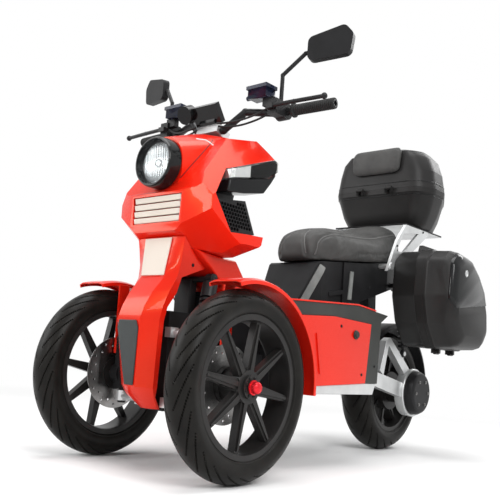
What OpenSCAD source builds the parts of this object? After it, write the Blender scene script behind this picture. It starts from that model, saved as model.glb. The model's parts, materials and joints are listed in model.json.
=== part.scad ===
// Electric three-wheel scooter with a top box and two side cases.
// Millimetres. +X is forward, +Y is the rider's left, +Z is up. The tyres stand on z = 0.

/* [Wheels] */
// Distance between the front and rear axles
wheelbase = 1240; // [1220:5:1300]
// Distance between the middle planes of the two front wheels
front_track = 542; // [538:2:560]
// Height of the front tyres over their rims
front_tyre_h = 75; // [73:1:78]
// Width of the front tyres
front_tyre_w = 92; // [86:1:96]
// Radius of the front rims where the tyres sit
front_rim_r = 180; // [174:1:184]
// Height of the rear tyre over its rim
rear_tyre_h = 85; // [81:1:89]
// Width of the rear tyre
rear_tyre_w = 124; // [110:1:130]
// Radius of the rear rim where the tyre sits
rear_rim_r = 153; // [148:1:158]
// Spokes in each wheel
spoke_count = 8; // [6:1:9]
// Radius of the front brake discs
disc_r = 108; // [102:1:112]

/* [Front suspension] */
// Inward distance of a kingpin from its wheel's middle plane
kingpin_inset = 86; // [84:1:90]
// Radius of the kingpins
kingpin_r = 12; // [10:0.5:13]
// Running clearance of pins and axles
pin_gap = 0.06; // [0.03:0.01:0.1]
// Radius of the control-arm tubes
arm_r = 11; // [9:0.5:12]
// Gap between the front tyres and their fenders
fender_gap = 23; // [18:1:25]
// Half width of the front fenders
fender_half = 55; // [53:1:56]
// Thickness of the front fenders
fender_wall = 4; // [3:0.5:5]

/* [Front cowl] */
// Height of the headlight's middle
headlight_z = 858; // [852:1:864]
// Outer radius of the headlight's bezel
headlight_r = 72; // [68:1:74]
// Height of the grille's lower edge
grille_z = 688; // [684:1:692]
// Slats in the grille
slat_count = 4; // [3:1:5]
// Distance between neighbouring cells of the side meshes
cell_pitch = 12; // [11:0.5:14]
// Width of the bars between the cells
cell_bar = 2.4; // [2:0.2:3]

/* [Steering] */
// Rake of the steering axis, in degrees from upright
rake = 20; // [18:0.5:22]
// Radius of the steering stem
stem_r = 17; // [15:0.5:18]
// Radius of the handlebar tube
bar_r = 11; // [10.5:0.5:11.5]
// Length of the straight end of the bar on each side
bar_end_len = 190; // [185:1:196]
// Backward sweep of the bar ends, in degrees
bar_sweep = 4; // [2:0.5:6]
// Radius of the bore in each bar end
bar_bore_r = 7.5; // [6.5:0.25:8]
// Length of a grip
grip_len = 135; // [120:1:145]
// Radius of a grip
grip_r = 16; // [15:0.5:18]
// Distance of the mirrors' middles from the centre line
mirror_y = 352; // [346:2:360]
// Height of the mirrors' middles
mirror_z = 1224; // [1218:1:1230]

/* [Floor and body] */
// Height of the footboard
floor_z = 512; // [508:1:516]
// Height of the foot mat over the footboard
mat_h = 4; // [3:0.5:6]
// Half width of the body between the side panels
body_half = 205; // [200:1:210]
// Thickness of the side panels
panel_wall = 27; // [24:1:30]
// Gap between the front fenders and the wheel arches
arch_gap = 62; // [58:1:66]
// Height of the belly pan's underside
belly_z = 232; // [228:1:236]

/* [Seat and luggage] */
// Half width of the seat at its broadest
seat_half = 146; // [140:1:148]
// Half width of the seat base
seat_base_half = 110; // [100:1:115]
// Height of the rack's top
rack_z = 889; // [886:1:894]
// Thickness of the rack's plate
rack_wall = 6; // [5:0.5:8]
// Half width of the top box
box_half = 220; // [212:1:224]
// Height of the seam between the top box and its lid
box_seam_z = 1040; // [1034:1:1046]
// Height of the top box's lid
lid_h = 168; // [162:1:174]
// Wall of the luggage boxes
box_wall = 6; // [5:0.5:8]
// Distance of the side cases' seam from the centre line
case_seam_y = 281; // [275:1:290]
// Depth of a side case's lid
case_lid_depth = 114; // [105:1:120]
// Radius of the hinge pins of the boxes
hinge_r = 4; // [3:0.5:5]

/* [Rear] */
// Distance of the swing arms' inner faces from the centre line
swing_y = 108; // [106:1:112]
// Thickness of the swing arms
swing_wall = 28; // [24:1:30]
// Radius of the rear axle
axle_r = 15; // [13:0.5:16]
// Radius of the motor's cap
motor_r = 85; // [80:1:90]
// Spacing of the number-plate holes
plate_hole_gap = 120; // [100:5:140]
// Radius of the number-plate holes
plate_hole_r = 3.2; // [2.6:0.1:3.5]

/* [Hidden] */
$fn = 64;
front_tyre_r = front_rim_r + front_tyre_h;
rear_tyre_r = rear_rim_r + rear_tyre_h;
fender_r = front_tyre_r + fender_gap;
arch_r = fender_r + arch_gap;
fx = wheelbase;
fy = front_track / 2;
fz = front_tyre_r;
rz = rear_tyre_r;
king_y = fy - kingpin_inset;
rear_x = -289;
mid_x = (fx + front_tyre_r + rear_x) / 2;
low_arm_z = fz - 65;
up_arm_z = fz + 130;
panel_y = body_half + panel_wall;
steer_x = fx - 113;
steer_z = 981;
mesh_y = 158;
mesh_wall = 8;
grille_h = 78;
slat_gap = 4;
grip_x = steer_x - 62;
grip_z = 1048;
bar_end_y = 200;
case_y = 160;
case_panel_h = 2.5;
hinge_x = 148;
hinge_z = box_seam_z;
hinge_eye_r = 7;
case_hinge_z = 399;
hinge_y = 64;
pad_seat_gap = 2.8;
lock_depth = 22;
control_gap = 0.3;
mirror_turn = 16;
mirror_tip = 13;

function unit(v) = v / norm(v);

// Points of one rounded corner at b, between a and c
function corner(a, b, c, r, n) =
  let (u = unit(a - b), v = unit(c - b), half = acos(u * v) / 2,
    d = min(r / tan(half), 0.48 * norm(a - b), 0.48 * norm(c - b)),
    q = d * tan(half), m = b + unit(u + v) * q / sin(half),
    s = b + u * d - m, e = b + v * d - m,
    turn = atan2(s.x * e.y - s.y * e.x, s * e), start = atan2(s.y, s.x))
  [for (k = [0 : n]) m + q * [cos(start + turn * k / n), sin(start + turn * k / n)]];

// An outline with its corners rounded
function rounded(p, r, n = 4) =
  let (c = len(p)) [for (i = [0 : c - 1]) each corner(p[(i + c - 1) % c], p[i], p[(i + 1) % c], r, n)];

// An outline scaled about a point
function scaled(p, m, s) = [for (q = p) m + (q - m) * s];

// Half an outline joined to its mirror image in the second coordinate
function both_sides(p) = concat(p, [for (i = [len(p) - 1 : -1 : 0]) [p[i].x, -p[i].y]]);

// Half an outline joined to its mirror image in the first coordinate
function left_right(p) = concat(p, [for (i = [len(p) - 1 : -1 : 0]) [-p[i].x, p[i].y]]);

module place() {
  translate([-mid_x, 0, 0]) children();
}

module pair() {
  children();
  mirror([0, 1, 0]) children();
}

// Outline in x and z, between two distances from the centre line
module side_plate(p, y0, y1) {
  translate([0, y1, 0]) rotate([90, 0, 0]) linear_extrude(y1 - y0) polygon(p);
}

// Outline in y and z, between two x values
module cross_plate(p, x0, x1) {
  translate([x0, 0, 0]) rotate([90, 0, 90]) linear_extrude(x1 - x0) polygon(p);
}

// Everything on the side of a plane that its normal points to
module beyond(p, n) {
  translate(p) rotate([0, acos(n.z / norm(n)), atan2(n.y, n.x)])
    translate([-700, -700, 0]) cube(1400);
}

module rod(a, b, r) {
  v = b - a;
  translate(a) rotate([0, acos(v.z / norm(v)), atan2(v.y, v.x)]) cylinder(h = norm(v), r = r);
}

module bent_rod(p, r) {
  for (i = [0 : len(p) - 2]) rod(p[i], p[i + 1], r);
  for (i = [1 : len(p) - 2]) translate(p[i]) sphere(1.1 * r);
}

module block(a, b) {
  translate(a) cube(b - a);
}

// Cylinder along y
module y_cyl(x, y0, y1, z, r) {
  translate([x, y1, z]) rotate([90, 0, 0]) cylinder(h = y1 - y0, r = r);
}

// Cylinder along x
module x_cyl(x0, x1, y, z, r) {
  translate([x0, y, z]) rotate([0, 90, 0]) cylinder(h = x1 - x0, r = r);
}

// A skin over closed rings of points
module loft(rings) {
  n = len(rings[0]);
  m = len(rings);
  sides = [for (i = [0 : m - 2], j = [0 : n - 1])
    let (a = i * n + j, b = i * n + (j + 1) % n) each [[a, a + n, b + n], [a, b + n, b]]];
  polyhedron([for (r = rings) each r],
    concat([[for (j = [0 : n - 1]) j]], sides, [[for (j = [n - 1 : -1 : 0]) (m - 1) * n + j]]));
}

// Turn about the y axis line of a wheel at x, y, z
module wheel_spin(x, y, z) {
  translate([x, y, z]) rotate([90, 0, 0]) children();
}

module steer_place() {
  translate([steer_x, 0, steer_z]) rotate([0, -rake, 0]) children();
}

// Front cowl

mask_side = [[fx + 92, 663], [fx + 92, 774], [fx + 78, 782], [fx + 50, 832], [fx - 60, 955], [fx - 147, 962],
  [fx - 167, 905], [fx - 12, 850], [fx + 50, 766], [fx - 19, 670], [fx - 150, 676], [fx - 146, 652],
  [fx - 96, 612], [fx + 28, 622], [fx + 66, 655]];

mask_front = left_right([[0, 600], [120, 604], [196, 645], [210, 905], [152, 964], [60, 975], [0, 975]]);

mask_top = both_sides([[fx + 92, 0], [fx + 92, 104], [fx + 60, 184], [fx - 25, 188], [fx - 175, 212],
  [fx - 175, 0]]);

module mask_block() {
  difference() {
    intersection() {
      side_plate(mask_side, -230, 230);
      cross_plate(mask_front, fx - 200, fx + 120);
      translate([0, 0, 560]) linear_extrude(460) polygon(mask_top);
    }
    pair() {
      beyond([fx + 30, 87, 621], [0.497, 0.549, -0.673]);
      beyond([fx - 60, 112, 955], [0.42, 0.74, 0.53]);
    }
  }
}

module hood() {
  intersection() {
    translate([fx + 78, 0, headlight_z]) rotate([0, -78, 0]) cylinder(h = 230, r1 = 77, r2 = 104);
    block([fx - 125, -120, 780], [fx + 78, 120, 976]);
  }
}

module stem_tunnel(r) {
  steer_place() translate([0, 0, -262]) cylinder(h = 330, r = r);
}

module front_mask() {
  color([0.9, 0.17, 0.08]) difference() {
    union() {
      mask_block();
      hood();
    }
    cross_plate([[-93, grille_z], [93, grille_z], [97, grille_z + grille_h], [-97, grille_z + grille_h]],
      fx + 70, fx + 130);
    stem_tunnel(28.3);
    inner_shape();
  }
}

// Inside of the cowl: a broad part behind the meshes and a narrow part above it
module inner_shape() {
  side_plate([[fx + 42, 755], [fx - 98, 774], [fx - 148, 682], [fx - 140, 668], [fx - 19, 668]], -mesh_y, mesh_y);
  side_plate([[fx + 55, 760], [fx - 8, 852], [fx - 60, 872], [fx - 150, 884], [fx - 120, 760]], -95, 95);
}

module inner_shield() {
  color([0.08, 0.08, 0.09]) difference() {
    inner_shape();
    stem_tunnel(28.3);
  }
}

mesh_side = [[fx + 42, 755], [fx - 98, 774], [fx - 148, 684], [fx - 19, 671]];

// Honeycomb cells in rows, inside a frame along the edge of the mesh
module side_meshes() {
  row = cell_pitch * sqrt(3) / 2;
  color([0.05, 0.05, 0.05]) pair() translate([0, mesh_y + mesh_wall, 0]) rotate([90, 0, 0])
    linear_extrude(mesh_wall) difference() {
      polygon(mesh_side);
      for (j = [0 : 12], i = [0 : 19]) {
        p = [fx - 150 + (i + (j % 2) / 2) * cell_pitch, 676 + j * row];
        if (in_mesh(p, cell_pitch / 2 + 3)) translate(p) rotate(30)
          circle(r = (cell_pitch - cell_bar) / sqrt(3), $fn = 6);
      }
    }
}

// Whether a point lies inside the mesh's outline, with a margin
function in_mesh(p, margin) = min([for (i = [0 : 3])
  let (a = mesh_side[i], b = mesh_side[(i + 1) % 4], u = unit(b - a), w = p - a) u.x * w.y - u.y * w.x]) > margin;

module lamp_outline() {
  translate([0, 0, 600]) linear_extrude(460) polygon(both_sides([[fx + 60, 120], [fx + 60, 150], [fx - 25, 186],
    [fx - 175, 212], [fx - 260, 212], [fx - 260, 120]]));
}

module turn_lamps() {
  color([0.75, 0.4, 0.1]) intersection() {
    pair() side_plate([[fx - 182, 899], [fx - 167, 904.6], [fx - 12, 849.6], [fx - 9, 818], [fx - 150, 846],
      [fx - 182, 872]], 130, 215);
    lamp_outline();
  }
}

module lamp_housings() {
  color([0.05, 0.05, 0.05]) intersection() {
    pair() side_plate([[fx - 9, 817.7], [fx - 6, 782], [fx - 60, 786], [fx - 133, 800], [fx - 176, 858],
      [fx - 176, 866.7], [fx - 150, 845.7]], 130, 209);
    lamp_outline();
  }
}

module headlight_bezel() {
  color([0.04, 0.04, 0.04]) translate([fx + 78, 0, headlight_z]) rotate([0, 90, 0])
    rotate_extrude() polygon([[headlight_r - 14, 0], [headlight_r + 2, 0], [headlight_r, 36],
      [headlight_r - 3, 43], [headlight_r - 7, 43], [headlight_r - 12, 26], [headlight_r - 14, 26]]);
}

module headlight_lens() {
  color([0.85, 0.88, 0.9]) translate([fx + 78, 0, headlight_z]) rotate([0, 90, 0])
    rotate_extrude() polygon(concat([[0, 0]], [for (a = [0 : 15 : 90])
      [(headlight_r - 14.3) * cos(a), 14 + 14 * sin(a)]], [[0, 28]]));
}

module grille_slats() {
  pitch = grille_h / slat_count;
  slat_h = pitch - slat_gap;
  color([0.93, 0.9, 0.84]) for (i = [0 : slat_count - 1]) {
    z = grille_z + slat_gap / 2 + i * pitch;
    side_plate([[fx + 70, z + 3], [fx + 88, z], [fx + 91, z + slat_h], [fx + 70, z + slat_h]], -92, 92);
  }
}

// One level of the nose: height, front, half width of the front, of the sides, where they start, rear
function nose_ring(z, xf, wf, ws, xs, xr) = [for (q = both_sides([[xf, wf], [xs, ws], [xr, ws]]))
  [fx + q.x, q.y, z]];

module nose_cover() {
  color([0.9, 0.17, 0.08]) loft([
    nose_ring(170, 76, 14, 34, 62, 52),
    nose_ring(205, 118, 18, 56, 98, 92),
    nose_ring(230, 140, 21, 64, 112, 96),
    nose_ring(413, 162, 45, 75, 118, 100),
    nose_ring(452, 147, 45, 75, 108, 90),
    nose_ring(494, 121, 46, 76, 90, 60),
    nose_ring(538, 84, 48, 79, 66, 48),
    nose_ring(574, 79, 50, 83, 60, -41.5),
    nose_ring(621.5, 72.6, 53, 90, 61, 28.6),
    nose_ring(650, 69, 55, 94, 63, 61)]);
}

module nose_inset() {
  tilt = atan((162 - 140) / (413 - 230));
  color([0.16, 0.16, 0.17]) translate([fx + 140, 0, 230]) rotate([0, tilt, 0])
    cross_plate(left_right([[0, 4], [17, 4], [41, 160], [34, 181], [0, 181]]), 0.1, 5);
}

module face_panel() {
  tilt = atan((69 - 79) / (650 - 574));
  color([0.93, 0.9, 0.84]) translate([fx + 79, 0, 574]) rotate([0, tilt, 0])
    cross_plate(left_right([[0, -34], [45, -34], [53, 74], [0, 74]]), 0.4, 4.4);
}

module leg_column() {
  color([0.9, 0.17, 0.08]) side_plate([[fx + 28, 621.5], [fx - 42, 574], [fx - 100, 528],
    [fx - 100, floor_z], [fx - 205, floor_z], [fx - 195, 560], [fx - 150, 611], [fx - 96, 611.5]], -105, 105);
}

module head_tube() {
  color([0.3, 0.3, 0.32]) difference() {
    steer_place() translate([0, 0, -258]) cylinder(h = 190, r = 28);
    steer_place() translate([0, 0, -280]) cylinder(h = 330, r = stem_r + pin_gap);
  }
}

// Front suspension

module front_frame() {
  color([0.12, 0.12, 0.13]) {
    block([fx - 72, -40, low_arm_z - 25], [fx + 46, 40, up_arm_z + 60]);
    block([fx - 341, -62, 330], [fx - 72, 62, floor_z - 14]);
    y_cyl(shock_top.x, -112, 112, shock_top.z, shock_pin_r);
    block([fx - 66, -30, up_arm_z + 60], [fx - 38, 30, 545]);
  }
}

module arm_pair(z) {
  difference() {
    union() {
      for (s = [-1, 1]) {
        rod([fx + 44 * s, 50, z], [fx, king_y, z], arm_r);
        block([fx + 44 * s - 15, 40, z - 14], [fx + 44 * s + 15, 62, z + 14]);
      }
      translate([fx, king_y, z - 15]) cylinder(h = 30, r = 22);
    }
    translate([fx, king_y, z - 40]) cylinder(h = 80, r = kingpin_r + pin_gap);
  }
}

module control_arms() {
  color([0.7, 0.7, 0.72]) pair() {
    arm_pair(low_arm_z);
    arm_pair(up_arm_z);
    block([fx - 26, 112, up_arm_z - 8], [fx + 26, 138, up_arm_z + 12]);
  }
}

shock_pin_r = 9;
shock_top = [fx - 52, 98, 545];
shock_foot = [fx + 2, 125, up_arm_z + 12];

module front_shocks() {
  v = unit(shock_foot - shock_top);
  color([0.06, 0.06, 0.06]) pair() difference() {
    union() {
      y_cyl(shock_top.x, 86, 110, shock_top.z, shock_pin_r + 6);
      rod(shock_top + v * 16, shock_top + v * 62, 22);
      for (i = [0 : 3]) rod(shock_top + v * (68 + 15 * i), shock_top + v * (76 + 15 * i), 22);
      rod(shock_top + v * 60, shock_foot - v * 10, 12);
      block(shock_foot - [14, 11, 0], shock_foot + [14, 11, 20]);
    }
    y_cyl(shock_top.x, 60, 140, shock_top.z, shock_pin_r + pin_gap);
  }
}

// Wheels

function tyre_section(r, w, rim_r) = let (h = 0.42 * w) concat(
  [[rim_r, -0.36 * w], [rim_r + 11, -0.36 * w]],
  [for (a = [-90 : 15 : 90]) [r - h + h * cos(a), w / 2 * sin(a)]],
  [[rim_r + 11, 0.36 * w], [rim_r, 0.36 * w]]);

module tyre(r, w, rim_r) {
  color([0.05, 0.05, 0.05]) rotate_extrude($fn = 96) polygon(tyre_section(r, w, rim_r));
}

module rim_barrel(rim_r, w) {
  b = 0.36 * w;
  rotate_extrude($fn = 96) polygon([[rim_r + 9, -b - 4.5], [rim_r + 9, -b - 0.5], [rim_r - 0.3, -b - 0.5],
    [rim_r - 0.3, b + 0.5], [rim_r + 9, b + 0.5], [rim_r + 9, b + 4.5], [rim_r - 6, b + 4.5],
    [rim_r - 9, b - 4], [rim_r - 9, 4 - b], [rim_r - 6, -b - 4.5]]);
}

// Tapered spokes between z0 and z1, with a narrow ridge on the side of z0
module spokes(rim_r, hub_r, z0, z1) {
  for (i = [0 : spoke_count - 1]) rotate([0, 0, i * 360 / spoke_count + 10]) {
    translate([0, 0, z0]) linear_extrude(z1 - z0)
      polygon([[hub_r - 6, -15], [rim_r - 6, -8], [rim_r - 6, 8], [hub_r - 6, 15]]);
    translate([0, 0, z0 - 5]) linear_extrude(6)
      polygon([[hub_r - 6, -7], [rim_r - 14, -3], [rim_r - 14, 3], [hub_r - 6, 7]]);
  }
}

// The wheel's outer side is -z here, which the wheel's place turns outward
module front_rim() {
  color([0.05, 0.05, 0.05]) difference() {
    union() {
      rim_barrel(front_rim_r, front_tyre_w);
      spokes(front_rim_r, 40, -28, -6);
      translate([0, 0, -34]) cylinder(h = 68, r = 44);
      translate([0, 0, -42]) cylinder(h = 10, r = 31);
      translate([0, 0, -50]) cylinder(h = 10, r = 18);
      translate([0, 0, -62]) cylinder(h = 14, r = 13, $fn = 6);
      translate([0, 0, 30]) cylinder(h = 22, r = 50);
    }
    translate([0, 0, -24]) cylinder(h = 100, r = 13 + pin_gap);
  }
}

module front_disc() {
  color([0.6, 0.6, 0.62]) translate([0, 0, 46]) difference() {
    cylinder(h = 4, r = disc_r);
    translate([0, 0, -1]) cylinder(h = 6, r = 50.3);
    for (i = [0 : 23]) rotate([0, 0, 15 * i]) translate([disc_r - 12 - 11 * (i % 2), 0, -1])
      cylinder(h = 6, r = 3.5, $fn = 16);
  }
}

module rim_front_left() wheel_spin(fx, fy, fz) front_rim();

module rim_front_right() mirror([0, 1, 0]) rim_front_left();

module disc_left() wheel_spin(fx, fy, fz) front_disc();

module disc_right() mirror([0, 1, 0]) disc_left();

module tyre_front_left() wheel_spin(fx, fy, fz) tyre(front_tyre_r, front_tyre_w, front_rim_r);

module tyre_front_right() mirror([0, 1, 0]) tyre_front_left();

module rim_rear() {
  color([0.05, 0.05, 0.05]) wheel_spin(0, 0, rz) difference() {
    union() {
      rim_barrel(rear_rim_r, rear_tyre_w);
      spokes(rear_rim_r, 70, -20, 20);
      translate([0, 0, -98]) cylinder(h = 196, r = 46);
      translate([0, 0, -45]) cylinder(h = 90, r = 76);
      translate([0, 0, 78]) cylinder(h = 5, r = 95);
    }
    translate([0, 0, -120]) cylinder(h = 240, r = axle_r + pin_gap);
  }
}

module tyre_rear() wheel_spin(0, 0, rz) tyre(rear_tyre_r, rear_tyre_w, rear_rim_r);

// Knuckles and fenders

module knuckle() {
  color([0.2, 0.2, 0.21]) {
    translate([fx, king_y, low_arm_z - 22]) cylinder(h = up_arm_z - low_arm_z + 44, r = kingpin_r);
    block([fx - 22, king_y - 20, low_arm_z + 20], [fx + 22, king_y + 18, up_arm_z - 20]);
    y_cyl(fx, king_y, fy - 54, fz, 30);
    y_cyl(fx, king_y, fy + 20, fz, 13);
    block([fx - 100, king_y + 2, fz + 20], [fx - 10, king_y + 14, fz + 70]);
    difference() {
      block([fx - 128, king_y + 2, fz + 20], [fx - 80, fy - 30, fz + 86]);
      wheel_spin(fx, fy, fz) translate([0, 0, 43]) cylinder(h = 10, r = disc_r + 4);
    }
  }
}

module knuckle_left() knuckle();

module knuckle_right() mirror([0, 1, 0]) knuckle();

module fender() {
  stay_top = fender_r - 16;
  color([0.9, 0.17, 0.08]) {
    wheel_spin(fx, fy, fz) rotate([0, 0, 72]) rotate_extrude(angle = 112, $fn = 96)
      polygon([[fender_r - 12, -fender_half], [fender_r - 2, -fender_half], [fender_r + fender_wall, -fender_half + 16],
        [fender_r + fender_wall, fender_half - 16], [fender_r - 2, fender_half], [fender_r - 12, fender_half],
        [fender_r - 12, fender_half - fender_wall], [fender_r - 4, fender_half - fender_wall],
        [fender_r, fender_half - 18], [fender_r, -fender_half + 18],
        [fender_r - 4, -fender_half + fender_wall], [fender_r - 12, -fender_half + fender_wall]]);
    block([fx - 20, king_y + 18, fz + 60], [fx + 20, king_y + 31, fz + 100]);
    block([fx - 20, king_y + 25, fz + 100], [fx + 20, king_y + 31, fz + stay_top]);
    block([fx - 20, king_y + 25, fz + stay_top], [fx + 20, fy - fender_half + 2, fz + stay_top + 7]);
  }
}

module fender_left() fender();

module fender_right() mirror([0, 1, 0]) fender();

// Floor and body

module arch_cut() {
  pair() y_cyl(fx, 70, 400, fz, arch_r);
}

module belly_pan() {
  color([0.06, 0.06, 0.06]) {
    block([460, -body_half, belly_z], [fx - 341, body_half, belly_z + 6]);
    block([460, -body_half, belly_z + 6], [466, body_half, floor_z - 14]);
    block([fx - 347, -body_half, belly_z + 6], [fx - 341, body_half, floor_z - 14]);
  }
}

module battery_block() {
  color([0.25, 0.25, 0.27]) block([500, -170, belly_z + 6], [fx - 380, 170, 450]);
}

module floor_board() {
  color([0.07, 0.07, 0.07]) difference() {
    union() {
      block([440, -body_half, floor_z - 14], [fx - 74, body_half, floor_z]);
      block([766, -150, floor_z], [fx - 215, 150, floor_z + mat_h]);
    }
    arch_cut();
    block([fx - 240, 62, 400], [fx, 300, 600]);
    mirror([0, 1, 0]) block([fx - 240, 62, 400], [fx, 300, 600]);
  }
}

module side_panels() {
  color([0.9, 0.17, 0.08]) difference() {
    pair() {
      side_plate([[fx - 200, 462], [741, 480], [512, 472], [533, 272], [849, 258], [fx - 300, 258]],
        body_half, panel_y);
      side_plate([[831, 420], [801, 296], [813, 296], [843, 420]], panel_y - 2, panel_y + 4);
      side_plate([[fx - 222, 506.3], [755, 521.3], [597, 528.3], [480, 518.7], [480, 523], [597, 533], [755, 526],
        [fx - 224, 511]], body_half, panel_y - 2);
    }
    arch_cut();
  }
}

// Place of the charging port on the left panel
port = [611, 430];

module side_bands() {
  color([0.14, 0.15, 0.14]) difference() {
    pair() side_plate([[fx - 200, 462.3], [fx - 220, 506], [755, 521], [597, 528], [391, 511], [438, 483],
      [445, 272], [532.7, 272], [511.7, 472.3], [741, 480.3]], body_half, panel_y - 4);
    arch_cut();
  }
  color([0.06, 0.06, 0.06]) {
    y_cyl(port.x, panel_y, panel_y + 5, port.y, 15);
    y_cyl(port.x, panel_y + 4, panel_y + 10, port.y, 11);
  }
}

module sills() {
  color([0.7, 0.7, 0.71]) pair()
    side_plate([[fx - 360, 257.5], [fx - 378, belly_z + 2], [470, belly_z + 2], [450, 271.5], [533, 271.5],
      [849, 257.5]], body_half, panel_y - 6);
}

// Seat and luggage

seat_base_side = [[752, floor_z], [664, 664], [648, 673.5], [389, 702], [110, 738], [20, 790], [20, 735],
  [120, 640], [200, 620], [389, 560], [389, floor_z]];

module seat_base() {
  color([0.07, 0.07, 0.07]) intersection() {
    side_plate(seat_base_side, -seat_base_half, seat_base_half);
    translate([0, 0, 500]) linear_extrude(320) difference() {
      polygon(seat_base_plan(0));
      for (s = [-1, 1]) translate([555, s * (seat_base_half + 6)]) square([90, 24], center = true);
    }
  }
  color([0.07, 0.07, 0.07]) pair() {
    y_cyl(shock_eye_top.x, 80, shock_y + 7, shock_eye_top.y, shock_pin_r);
    side_plate([[600, 560], [510, 575], [510, 590], [600, 575]], seat_base_half - 8, seat_base_half + 2);
  }
}

// Plan of the seat base, set out by a distance
function seat_base_plan(out) = rounded(both_sides([[760 + out, 74 + out], [640 + out / 2, seat_base_half + out],
  [200, seat_base_half + out], [10 - out, 76 + out]]), 30 + out);

// Pale trim strips that stand out from the seat base at its front corners and behind its side recess
module seat_pillars() {
  color([0.6, 0.61, 0.6]) intersection() {
    union() {
      side_plate([[740, floor_z + 0.5], [712, floor_z + 0.5], [632, 652], [656, 662]], -130, 130);
      side_plate([[478, 560], [456, 560], [449, 662], [470, 662]], -130, 130);
    }
    translate([0, 0, 500]) linear_extrude(320) difference() {
      polygon(seat_base_plan(4));
      polygon(seat_base_plan(0));
    }
  }
}

// One section of the seat: x, half width, bottom, top
function seat_ring(x, w, b, t) = [for (q = [[0.86, 0], [1, 0.3], [0.97, 0.62], [0.8, 0.88], [0.5, 0.97],
  [0, 1], [-0.5, 0.97], [-0.8, 0.88], [-0.97, 0.62], [-1, 0.3], [-0.86, 0]])
  [x, q.x * w, b + q.y * (t - b)]];

module seat() {
  color([0.13, 0.13, 0.14]) loft([
    seat_ring(104, 0.66 * seat_half, 742, 862),
    seat_ring(124, 0.8 * seat_half, 739.5, 878),
    seat_ring(170, 0.9 * seat_half, 733.5, 880),
    seat_ring(232, 0.95 * seat_half, 725.5, 862),
    seat_ring(290, 0.98 * seat_half, 718, 828),
    seat_ring(345, seat_half, 711, 816),
    seat_ring(470, 0.97 * seat_half, 696, 808),
    seat_ring(570, 0.86 * seat_half, 684.5, 802),
    seat_ring(630, 0.66 * seat_half, 677.5, 788),
    seat_ring(664, 0.5 * seat_half, 675, 766),
    seat_ring(684, 0.3 * seat_half, 690, 736)]);
}

module rack() {
  color([0.72, 0.72, 0.74]) {
    pair() {
      difference() {
        side_plate([[292, 686], [226, 812], [163, rack_z - rack_wall], [-24, rack_z - rack_wall],
          [-24, rack_z - 20], [165, 741]], 148, 159);
        side_plate([[228, 770], [178, 846], [60, rack_z - 26], [172, 774]], 140, 170);
      }
      y_cyl(262, seat_base_half, 150, 708, 9);
      y_cyl(205, 157, case_y, 742, 12);
      y_cyl(262, 158, 163, 708, 13);
    }
    block([-150, -157, rack_z - rack_wall], [163, 157, rack_z]);
  }
}

// Plan of the top box
box_front_x = 132;
box_rear_x = -225;
box_plan = rounded(both_sides([[box_front_x, 0.8 * box_half], [60, box_half], [-40, 0.97 * box_half],
  [box_rear_x, 0.58 * box_half]]), 60);
box_mid = [-45, 0];

// Levels of the lid's skin: share of its height, scale of the plan, shift forward
lid_levels = [[0, 1, 0], [0.42, 0.95, 6], [0.72, 0.88, 16], [0.9, 0.75, 32], [1, 0.5, 42]];

function box_ring(z, s, lean = 0) = [for (q = scaled(box_plan, box_mid, s)) [q.x + lean, q.y, z]];

function wall_scale(s) = s - box_wall / 180;

// Ears and pin of a hinge along y, at the origin, with feet reaching back along -x
module hinge_ears(reach) {
  for (s = [-1, 1]) {
    y_cyl(0, 11 * s - 4, 11 * s + 4, 0, hinge_eye_r);
    block([-reach, 11 * s - 4, -18], [0, 11 * s + 4, -3]);
  }
  y_cyl(0, -14, 14, 0, hinge_r);
}

// Eye that turns on that pin
module hinge_eye(reach) {
  difference() {
    union() {
      y_cyl(0, -6.5, 6.5, 0, hinge_eye_r);
      block([-reach, -6.5, 1], [0, 6.5, hinge_eye_r]);
    }
    y_cyl(0, -20, 20, 0, hinge_r + pin_gap);
  }
}

module box_hinges() {
  pair() translate([hinge_x, hinge_y, hinge_z]) children();
}

// Ears and pin of a side case's hinge, along x under the seam
module case_ears() {
  for (s = [-1, 1]) {
    x_cyl(11 * s - 4, 11 * s + 4, 0, 0, hinge_eye_r);
    block([11 * s - 4, -14, -3], [11 * s + 4, -1, 18]);
  }
  x_cyl(-14, 14, 0, 0, hinge_r);
}

// Eye of the case's lid on that pin
module case_eye() {
  difference() {
    union() {
      x_cyl(-6.5, 6.5, 0, 0, hinge_eye_r);
      block([-6.5, 1, -3], [6.5, 14, 18]);
    }
    x_cyl(-20, 20, 0, 0, hinge_r + pin_gap);
  }
}

module case_hinges() {
  for (x = [-10, 112]) translate([x, case_seam_y, case_hinge_z]) children();
}

module top_box_base() {
  color([0.12, 0.12, 0.13]) {
    difference() {
      loft([box_ring(rack_z, 0.7), box_ring(rack_z + 14, 0.78), box_ring(rack_z + 60, 0.88),
        box_ring(box_seam_z - 22, 0.97), box_ring(box_seam_z - 18, 0.99), box_ring(box_seam_z, 1)]);
      loft([box_ring(rack_z + 8, wall_scale(0.73)), box_ring(rack_z + 18, wall_scale(0.78)),
        box_ring(rack_z + 62, wall_scale(0.88)), box_ring(box_seam_z - 20, wall_scale(0.97)),
        box_ring(box_seam_z + 1, wall_scale(0.98))]);
    }
    box_hinges() hinge_ears(20);
    block([box_rear_x - lock_depth, -46, box_seam_z - 46], [box_rear_x + 12, 46, box_seam_z - 1]);
  }
}

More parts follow.
